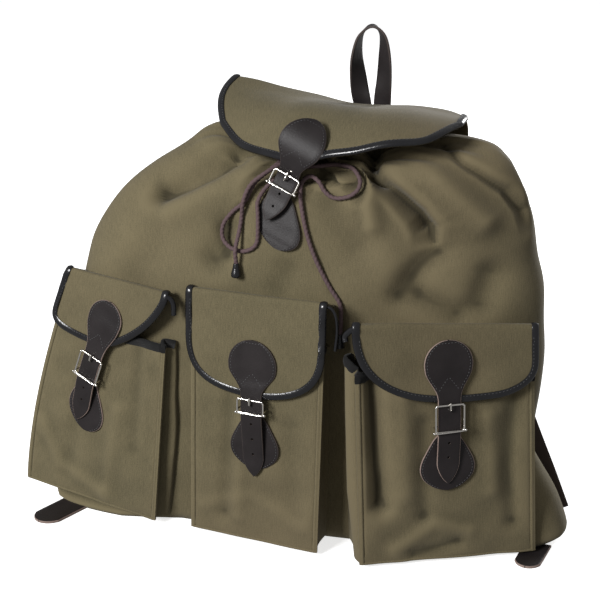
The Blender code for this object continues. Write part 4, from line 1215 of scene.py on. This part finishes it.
def make_lid():
    """The lid from its seam on the back to its front edge. Returns its grid."""
    columns = []
    stations = smooth_line(LID_STATIONS, np.linspace(0, len(LID_STATIONS) - 1, 121))
    runs = []
    for x in stations[:, 0]:
        runs.append(min(reach(outside, (x, BEHIND, z), -BACK, 135.0) for z in (390, 398, 406)))
    runs = [min(runs[max(i - 5, 0) : i + 6]) for i in range(len(runs))]
    runs = np.convolve(np.pad(runs, 5, mode="edge"), np.ones(11) / 11, mode="valid")
    for station, run in zip(stations, runs):
        value = dict(zip(LID_COLUMNS, station))
        ridge = np.array([value["x_back"], 60.0, value["z_back"]])
        front = np.array([value["x_front"], value["y_front"], value["z_front"]])
        tail = np.array([ridge[0], BEHIND - run + 1.2, 398.0])
        keys = [tail, (tail + ridge) / 2 + BACK * 3, ridge + BACK * 2 - UP * 5, ridge + BACK * 0.5 - UP * 1.2]
        v = 0.06 + 0.94 * np.arange(8) / 7
        lift = value["rise"] * np.sin(math.pi * v**1.4)
        bulge = value["bulge"] * np.sin(math.pi * v)
        top = ridge + (front - ridge) * v[:, None] + UP * lift[:, None] - RIGHT * bulge[:, None]
        keys = np.concatenate([keys, top])
        places = np.concatenate([np.linspace(0, 3, 14)[:-1], np.linspace(3, 11, 48)])
        columns.append(smooth_line(keys, places))
    grid = np.array(columns).transpose(1, 0, 2)
    share = np.clip((np.arange(len(grid)) - 12) / 14, 0, 1)[:, None]
    grid[..., 2] += ripple(grid[..., :2], 61, 0.8, shortest=45.0, longest=120.0) * share
    piece = lay_grid("lid_canvas", grid, [canvas])
    apply(piece, "SOLIDIFY", thickness=CANVAS_THICK * MM, offset=0.0)
    place_piece(piece, "canvas", "lid")
    return grid


bind_edge("lid_edge", make_lid(), 13, UP, 8, "lid_binding")

# %% [markdown]
# ## Closures
# On each flap a pear-shaped strap is sewn down by its round head. Its tail passes a wire buckle whose bar is
# held by the neck of a leather plate on the pocket. Everything is drawn in the buckle's own frame: a runs
# across, b down the strap, and c out of the panel.


# %% A closure's frame
# The model's buckle reaches this far below its heel bar, down the strap, and lies this far over the panel.
HEEL_INSET = 4.2
PANEL_UNDER = 3.08
# How far over the panel the middle of the heel bar lies.
HEEL_HEIGHT = 4.2
# Half the width of a strap where it passes a buckle.
STRAP_HALF = 11.2


def frame_axes(normal, lean):
    """The directions across, down and out of a panel, turned by lean degrees."""
    normal = unit(normal)
    down = unit(-UP + normal * normal[2])
    right = unit(np.cross(down, -normal))
    turn = math.radians(lean)
    b = down * math.cos(turn) - right * math.sin(turn)
    return np.cross(b, -normal), b, normal


def find_frame(buckle, normal, lean):
    """A closure's frame from the model's buckle. Its origin is on the panel, under the heel bar."""
    a, b, c = frame_axes(normal, lean)
    points = np.array([vertex.co for vertex in frame["nodes"][buckle].data.vertices]) / MM
    across, down, out = points @ a, points @ b, points @ c
    origin = a * (across.min() + across.max()) / 2
    origin += b * (down.max() - HEEL_INSET) + c * (out.min() - PANEL_UNDER)
    return {"origin": origin, "a": a, "b": b, "c": c}


# How far over a panel a ray starts, in millimetres.
ABOVE = 70.0


def put(closure, a, b, c):
    """The place of (a, b, c), in a closure's frame, on the bag."""
    a, b, c = np.broadcast_arrays(a, b, c)
    axes = closure["origin"] + a[..., None] * closure["a"] + b[..., None] * closure["b"]
    return axes + c[..., None] * closure["c"]


def heights(closure, node, places, spread, aside=0.0):
    """How high over the panel the middle of a leather solid lies, along the closure or a line beside it."""
    surface = surface_of(frame["nodes"][node])
    found = []
    for b, shift in zip(places, np.broadcast_to(aside, len(places))):
        down = hits(surface, [put(closure, shift + a, b, ABOVE) for a in spread], -closure["c"])
        found.append(ABOVE - min(down, default=np.nan) - LEATHER_THICK / 2)
    return fill_gaps(found)


# %% Strips of leather
def strip_section(half, thick):
    """Points round a strip that is cut across, as (a, c): two faces and rounded edges."""
    edge = min(0.55, half * 0.4)
    across = np.linspace(-half + edge, half - edge, 9)
    face = [(a, thick / 2) for a in across]
    rim = [(half - edge * 0.25, thick / 2 - 0.2), (half, thick / 2 - 0.6), (half, -thick / 2 + 0.6)]
    rim += [(half - edge * 0.25, -thick / 2 + 0.2)]
    under = [(a, -thick / 2) for a in across[::-1]]
    other = [(-a, -c) for a, c in rim]
    return np.array(face + rim + under + other + face[:1])


# Which of a strip's three finishes each column of its faces has.
STRIP_BANDS = [0] * 8 + [1] * 5 + [2] * 8 + [1] * 5


def strip(name, closure, path, halves, finish, edge, sway=None, thick=LEATHER_THICK):
    """Leather along a path of (b, c), with a half width at each point of it."""
    path = np.asarray(path, float)
    sway = np.zeros(len(path)) if sway is None else sway
    rows = []
    for (b, c), (along_b, along_c), half, shift in zip(path, directions(path), halves, sway):
        across, out = strip_section(half, thick).T
        rows.append(put(closure, across + shift, b - along_c * out, c + along_b * out))
    finishes = [finish, edge, inner_dark]
    if path[0][0] > path[-1][0]:
        finishes.reverse()
    return lay_tube(name, np.array(rows), finishes, STRIP_BANDS, soft=55)


HEEL_TURNS = np.radians([190, 220, 250, 280, 310, 340, 10, 40])


def round_heel(places, level, halves):
    """Folds a strap's end round the heel bar: the path of (b, c) and the half widths with the fold added."""
    fold = [(2.6 * math.sin(turn), HEEL_HEIGHT + 2.6 * math.cos(turn)) for turn in HEEL_TURNS]
    path = [*zip(places, level), *fold, (4.2, 6.1), (6.5, 6.0)]
    return path, [*halves, *[8.3] * 9, 8.2]


def join_pieces(name, pieces):
    pick(*pieces)
    bpy.ops.object.join()
    joined = bpy.context.object
    joined.name = name
    joined.data.name = name
    joined.select_set(False)
    return joined


def punch(piece, closure, places, radius=1.3):
    """Punches round holes through the middle of a strap."""
    cutters = []
    for b in places:
        bpy.ops.mesh.primitive_cylinder_add(vertices=20, radius=radius * MM, depth=0.03)
        cutter = bpy.context.object
        cutter.rotation_euler = Vector(closure["c"]).to_track_quat("Z", "Y").to_euler()
        cutter.location = put(closure, 0, b, 8.0) * MM
        cutters.append(cutter)
    joined = join_pieces("punch", cutters)
    joined.select_set(True)
    bpy.ops.object.transform_apply(location=True, rotation=True, scale=True)
    joined.data.materials.clear()
    joined.data.materials.append(inner_dark)
    apply(piece, "BOOLEAN", operation="DIFFERENCE", object=joined, solver="EXACT")
    bpy.data.objects.remove(joined, do_unlink=True)
    soften(piece, 55)


def pear(top, head_half, bar):
    """Half widths of a strap with a round head: keys of (b, half width) from its top to the buckle."""
    turns = np.radians([2, 12, 25, 40, 55, 70, 85, 98])
    keys = [(top + head_half * (1 - math.cos(turn)), head_half * math.sin(turn)) for turn in turns]
    low, wide = keys[-1][0], keys[-1][1]
    for share in (0.2, 0.4, 0.6, 0.8, 1.0):
        ease = (1 - math.cos(math.pi * share)) / 2
        keys.append((low + (bar - 5 - low) * share, wide + (STRAP_HALF - wide) * ease))
    return keys


def tip_keys(start, end):
    """Half widths of a tail that narrows to a rounded point."""
    shares = np.array([0.15, 0.35, 0.55, 0.72, 0.86, 0.95, 0.99, 1.0])
    halves = np.maximum(STRAP_HALF * (1 - shares**1.7) ** 0.75, 0.35)
    return list(zip(start + (end - start) * shares, halves))


# %% [markdown]
# ### Buckles
# All the buckles are bent from the same wire: a rounded frame, a heel bar that carries it, a second wire
# with beaded ends that keeps the tail down, and a prong.


# %% Wire
WIRE_RADIUS = 0.95
BUCKLE_HALF = 13.7


def wire(name, closure, points, radius, closed=False):
    """A round wire through points (a, b, c) of a closure."""
    keys = np.array(points, float)
    if closed:
        count = len(keys)
        round_keys = np.concatenate([keys[-2:], keys, keys[:3]])
        fine = smooth_line(round_keys, np.linspace(2, 2 + count, 6 * count + 1))
    else:
        fine = even_line(keys, 0.5)
    world = put(closure, fine[:, 0], fine[:, 1], fine[:, 2])
    along = np.gradient(world, axis=0)
    if closed:
        along[0] = along[-1] = world[1] - world[-2]
    side = closure["c"] + closure["a"] * 0.013 + closure["b"] * 0.017
    return lay_tube(name, rings(world, unit_rows(along), side, radius, 12), [nickel])


def rounded_frame(half, top, low, c, corner=2.6):
    """Points round a frame with rounded corners, as (a, b, c)."""
    points = []
    for ca, cb, start in ((half, low, 0), (-half, low, 90), (-half, top, 180), (half, top, 270)):
        ca -= math.copysign(corner, ca)
        cb += corner if cb == top else -corner
        for angle in (0, 30, 60, 90):
            turn = math.radians(start + angle)
            points.append((ca + corner * math.cos(turn), cb + corner * math.sin(turn), c))
    return points


def bead_at(closure, a, b, c, radius):
    """A small metal ball at (a, b, c), in a closure's frame."""
    bpy.ops.mesh.primitive_uv_sphere_add(segments=16, ring_count=10, radius=radius * MM)
    ball = bpy.context.object
    ball.location = put(closure, a, b, c) * MM
    bpy.ops.object.transform_apply(location=True, rotation=True, scale=True)
    ball.data.materials.append(nickel)
    ball.data.shade_smooth()
    return ball


def make_buckle(name, closure, length, prong_low, keeper=True):
    """The wire frame with its heel bar, a keeper with beaded ends if there is one, and the prong."""
    solid = name + "_buckle"
    node_points = np.array([vertex.co for vertex in frame["nodes"][solid].data.vertices]) / MM
    height = ((node_points - closure["origin"]) @ closure["c"]).max() - 1.2
    half = BUCKLE_HALF
    top = -(length - 2)
    ring = wire(name + "_frame", closure, rounded_frame(half, top, 3.0, height), WIRE_RADIUS, closed=True)
    heel = HEEL_HEIGHT
    drop = [(half, 0, height), (half, 0, 6.5), (half - 0.8, 0, heel + 0.4), (half - 2.5, 0, heel)]
    bar = [(-a, b, c) for a, b, c in drop] + [(0, 0, heel)] + drop[::-1]
    pieces = [ring, wire(name + "_heel", closure, bar, WIRE_RADIUS)]
    if keeper:
        over = height + 1.3
        line = [(-half - 1.5, 3.5, over - 1.2), (-half + 2, 3.5, over), (0, 3.1, over + 0.2)]
        line += [(half - 2, 2.7, over), (half + 1.5, 2.5, over - 1.2)]
        pieces.append(wire(name + "_keeper", closure, line, 0.75))
        pieces.append(bead_at(closure, -half - 1.6, 3.5, over - 1.2, 1.4))
        pieces.append(bead_at(closure, half + 1.6, 2.5, over - 1.2, 1.4))
    place_piece(join_pieces(name + "_wire", pieces), "nickel", solid)
    over_bar = height + 1.15 + 1.0
    hook = [math.radians(angle) for angle in (60, 110, 170, 230, 290)]
    path = [(0, 2.4 * math.sin(turn), heel + 2.4 * math.cos(turn)) for turn in hook]
    path += [(0, *prong_low), (0, top + 4.6, over_bar - 0.7), (0, top + 1, over_bar + 0.1)]
    path += [(0, top - 1.5, over_bar + 0.05), (0, top - 2.8, over_bar - 0.2)]
    place_piece(wire(name + "_prong_wire", closure, path, WIRE_RADIUS), "nickel", name + "_prong")


# %% Straps and catches
CLOSURE_COLUMNS = ("lean", "frame", "head", "head_half", "tail", "catch", "catch_half", "sway")
CLOSURE_COLUMNS += ("holes", "edge")
CLOSURES = {
    "left": (21, 26, 64, 20, 58, 66, 23, 0.17, (16, 32), raw_edge),
    "centre": (1, 13, 60, 25.5, 74, 66, 26, 0, (15, 32, 49), dark_edge),
    "right": (-2, 26, 63, 23.5, 60, 68, 27, 0, (16, 32), raw_edge),
    "lid": (24, 13, 56, 22.5, 37, 58, 25, 0.36, (9, 22), dark_edge),
}
# Each row of the catch: how far down it lies and its half width, as parts of the whole.
CATCH_PLATE = [(1.0, 0.02), (0.985, 0.24), (0.935, 0.54), (0.82, 0.87)]
CATCH_PLATE += [(0.69, 1), (0.55, 0.96), (0.39, 0.77), (0.22, 0.52)]
STRAP_STITCH = (2.0, 1.1, 0.3)
# How far over the middle of a strip its stitches lie.
STITCH_OVER = 1.05


def make_catch(name, closure, facts):
    """The leather plate on the panel, whose neck is folded round the heel bar."""
    keys = [(b * facts["catch"], half * facts["catch_half"]) for b, half in CATCH_PLATE]
    keys += [(9.5, 9.2), (7.0, 8.6)]
    outline = even_line(keys, 1.4)
    level = even_out(heights(closure, name + "_catch", outline[:, 0], (-4.0, 4.0)), 3)
    path, halves = round_heel(outline[:, 0], level, outline[:, 1])
    sway = [facts["sway"] * max(b - 7.0, 0) for b, _ in path]
    piece = strip(name + "_catch_plate", closure, path, halves, leather, facts["edge"], sway)
    place_piece(piece, "leather", name + "_catch")
    sewn = [(b, half, c, shift) for (b, half), c, shift in zip(outline, level, sway) if half >= 9 and b >= 14]
    lines = []
    for side in (-1, 1):
        points = [
            put(closure, side * max(half - 2.6, 0.5) + shift, min(b, facts["catch"] - 3.0), c + STITCH_OVER)
            for b, half, c, shift in sewn
        ]
        lines.append((np.array(points), np.tile(closure["c"], (len(points), 1))))
    sew(name + "_catch_stitches", lines, "leather", STRAP_STITCH)


def make_strap(name, closure, facts):
    """The pear-shaped strap over its solid, with its stitches. Returns its path of (b, c)."""
    bar = 2 - facts["frame"]
    top = bar - facts["head"]
    tail = facts["tail"]
    keys = pear(top, facts["head_half"], bar)
    keys += [(b, STRAP_HALF) for b in (bar, 4, tail - 24)]
    keys += tip_keys(tail - 22, tail)
    outline = even_line(keys, 1.1)
    places = np.clip(outline[:, 0], top + 1.0, tail - 1.0)
    level = heights(closure, name + "_strap", places, (-5.0, 5.0))
    level = np.where(outline[:, 0] < bar - 8, even_out(level, 26 if name == "lid" else 8), even_out(level, 5))
    path = np.stack([outline[:, 0], even_out(level, 3)], 1)
    piece = strip(name + "_strap_leather", closure, path, outline[:, 1], leather, facts["edge"])
    punch(piece, closure, facts["holes"])
    place_piece(piece, "leather", name + "_strap")
    rim = [(max(half - 2.8, 0.3), max(b, top + 2.8)) for b, half in outline if b < bar - 14]
    width = np.interp(bar - 13, outline[:, 0], outline[:, 1]) - 2.5
    vee = [(width, bar - 13), (width / 2, bar - 20), (0, bar - 27)]
    lines = []
    for row in ([(-a, b) for a, b in rim[::-1]] + rim, [(-a, b) for a, b in vee], vee[::-1]):
        points = np.array([put(closure, a, b, np.interp(b, *path.T) + STITCH_OVER) for a, b in row])
        lines.append((points, np.tile(closure["c"], (len(points), 1))))
    sew(name + "_strap_stitches", lines, "leather", STRAP_STITCH)
    return path


LID_NORMAL = unit((0.02, -0.985, 0.17))
for name, row in CLOSURES.items():
    facts = dict(zip(CLOSURE_COLUMNS, row))
    normal = LID_NORMAL if name == "lid" else panel_normal(name)
    closure = find_frame(name + "_buckle", normal, facts["lean"])
    make_catch(name, closure, facts)
    path = make_strap(name, closure, facts)
    bar = 2 - facts["frame"]
    if name == "lid":
        neck = np.interp(bar - 5.0, *path.T) + LEATHER_THICK / 2
        place_piece(bead_at(closure, 2.0, bar - 5.0, neck, 1.3), "nickel")
    hole = min(bar + 10, -3) - 1.3
    under = np.interp(hole, *path.T) - LEATHER_THICK / 2 - 0.4 - WIRE_RADIUS
    make_buckle(name, closure, facts["frame"], (hole, under))

# %% [markdown]
# ## The back
# The photo doesn't show the back, so it is finished plainly: a leather patch, the hanging loop sewn on it,
# and two shoulder straps that buckle to short straps from the lower corners.

# %% Patch, loop and shoulder straps
def rest_on(node):
    """A copy of a solid with its loose triangles merged."""
    original = frame["nodes"][node]
    piece = original.copy()
    piece.data = original.data.copy()
    for key in list(piece.keys()):
        del piece[key]
    piece.parent = None
    bpy.context.scene.collection.objects.link(piece)
    piece.name = node + "_leather"
    piece.data.name = piece.name
    edit_all(
        piece,
        (bpy.ops.mesh.remove_doubles, {"threshold": 1e-5}),
        (bpy.ops.mesh.tris_convert_to_quads, {"face_threshold": 1.2, "shape_threshold": 1.2}),
    )
    return piece


# The loop's middle line in the back view, as (x, z), and how far the strip is turned there in degrees.
LOOP_STATIONS = [(50, 374, 0), (50, 402, 0), (49.5, 428, 8), (46, 450, 40), (43.5, 474, 72)]
LOOP_STATIONS += [(46, 493, 92), (52, 502, 104), (59, 505, 112), (66, 502, 120), (71, 493, 130)]
LOOP_STATIONS += [(72.5, 474, 148), (72, 450, 162), (69.5, 428, 176), (69.5, 402, 180), (69.5, 374, 180)]
LOOP_LEAVES_BACK = 440
LOOP_TOP_DEPTH = 66.0


def make_loop():
    """A strip folded in two: its legs lie on the back and it turns edge-on where it bends over at the top."""
    keys = smooth_line(LOOP_STATIONS, np.linspace(0, len(LOOP_STATIONS) - 1, 141))
    surface = surface_of(frame["nodes"]["hanging_loop"])
    depth = np.full(len(keys), LOOP_TOP_DEPTH)
    for i in np.flatnonzero(keys[:, 1] < LOOP_LEAVES_BACK):
        x, z = keys[i, :2]
        found = hits(surface, [(x + dx, BEHIND, z) for dx in (-5, 0, 5)], -BACK)
        depth[i] = BEHIND - 1.2 - max(found, default=np.nan)
    line = np.stack([keys[:, 0], even_out(fill_gaps(depth), 5), keys[:, 1]], 1)
    along = directions(line)
    turn = np.radians(keys[:, 2])[:, None]
    wide = square_to(along, np.cos(turn) * RIGHT + np.sin(turn) * BACK)
    grid = sweep(line, strip_section(9.0, 2.4), wide, np.cross(along, wide))
    piece = lay_tube("loop_strip", grid, [leather, dark_edge, leather], STRIP_BANDS, soft=55)
    place_piece(piece, "leather", "hanging_loop")


make_loop()
patch = rest_on("back_patch")
patch.data.materials.clear()
patch.data.materials.append(leather)
apply(patch, "BEVEL", width=0.0006, segments=2, limit_method="ANGLE", angle_limit=math.radians(50))
soften(patch, 40)
place_piece(patch, "leather", "back_patch")

# Each shoulder strap: its top end and its buckle as (x, z), then how long its lower strap is and how far
# that one sways to the side for each millimetre down.
SHOULDERS = {"left": ((38, 352), (-184, 152), 108, -0.25), "right": ((86, 350), (202, 160), 154, 0.12)}
for side, (top_end, buckle, lower, sway) in SHOULDERS.items():
    rise = np.subtract(top_end, buckle).astype(float)
    lean = math.degrees(math.atan2(-rise[0], rise[1]))
    closure = find_frame(side + "_strap_buckle", BACK, lean)
    top = -np.linalg.norm(rise)
    bar = -24
    keys = [(top, 6.0), (top + 0.6, 9.0), (top + 2.5, 11.5), (top + 8, 14.5)]
    keys += [(top + 8 + (bar - 44 - top) * k / 4, 16 - k) for k in range(1, 5)]
    keys += [(b, STRAP_HALF) for b in (bar - 20, bar, 0, 20)]
    keys += tip_keys(23, 44)
    outline = even_line(keys, 2.0)
    places = np.clip(outline[:, 0], top + 1, 43)
    level = even_out(heights(closure, side + "_shoulder_strap", places, (-5.0, 5.0)), 4)
    path = np.stack([outline[:, 0], level], 1)
    piece = strip(side + "_shoulder_leather", closure, path, outline[:, 1], leather, dark_edge)
    punch(piece, closure, (12, 26))
    place_piece(piece, "leather", side + "_shoulder_strap")
    keys = [(lower, 10.0), (lower / 2, 10.0), (12.0, 9.6), (7.0, 8.4)]
    outline = even_line(keys, 2.0)
    places = np.clip(outline[:, 0], 7.0, lower - 1)
    shift = np.maximum(outline[:, 0] - 7.0, 0) * sway
    level = even_out(heights(closure, side + "_lower_strap", places, (-4.0, 4.0), shift), 2)
    path, halves = round_heel(outline[:, 0], level, outline[:, 1])
    shift = [max(b - 7.0, 0) * sway for b, _ in path]
    piece = strip(side + "_lower_leather", closure, path, halves, leather, dark_edge, shift)
    place_piece(piece, "leather", side + "_lower_strap")
    make_buckle(side + "_strap", closure, 26, (-15.3, 8.2), keeper=False)

# %% Corner tabs
TAB_THICK = 2.6
# Each tab: its root and its tip on the floor, and half its width.
TABS = {"left": ((-219.3, -41.5), (-238, -114), 17), "right": ((257, 32), (255, -20), 13)}
for side, (root, tip, half) in TABS.items():
    root, tip = np.array(root, float), np.array(tip, float)
    length = np.linalg.norm(tip - root)
    b = np.append((tip - root) / length, 0)
    closure = {"origin": np.append(root, 0), "a": np.cross(b, UP), "b": b, "c": UP}
    keys = [(0, half), (length - half, half)]
    for turn in np.radians([20, 40, 60, 75, 86, 89]):
        keys.append((length - half * (1 - math.sin(turn)), max(half * math.cos(turn), 0.4)))
    outline = even_line(keys, 1.4)
    path = np.stack([outline[:, 0], np.full(len(outline), TAB_THICK / 2)], 1)
    piece = strip(side + "_tab_leather", closure, path, outline[:, 1], leather, raw_edge, thick=TAB_THICK)
    place_piece(piece, "leather", side + "_corner_tab")
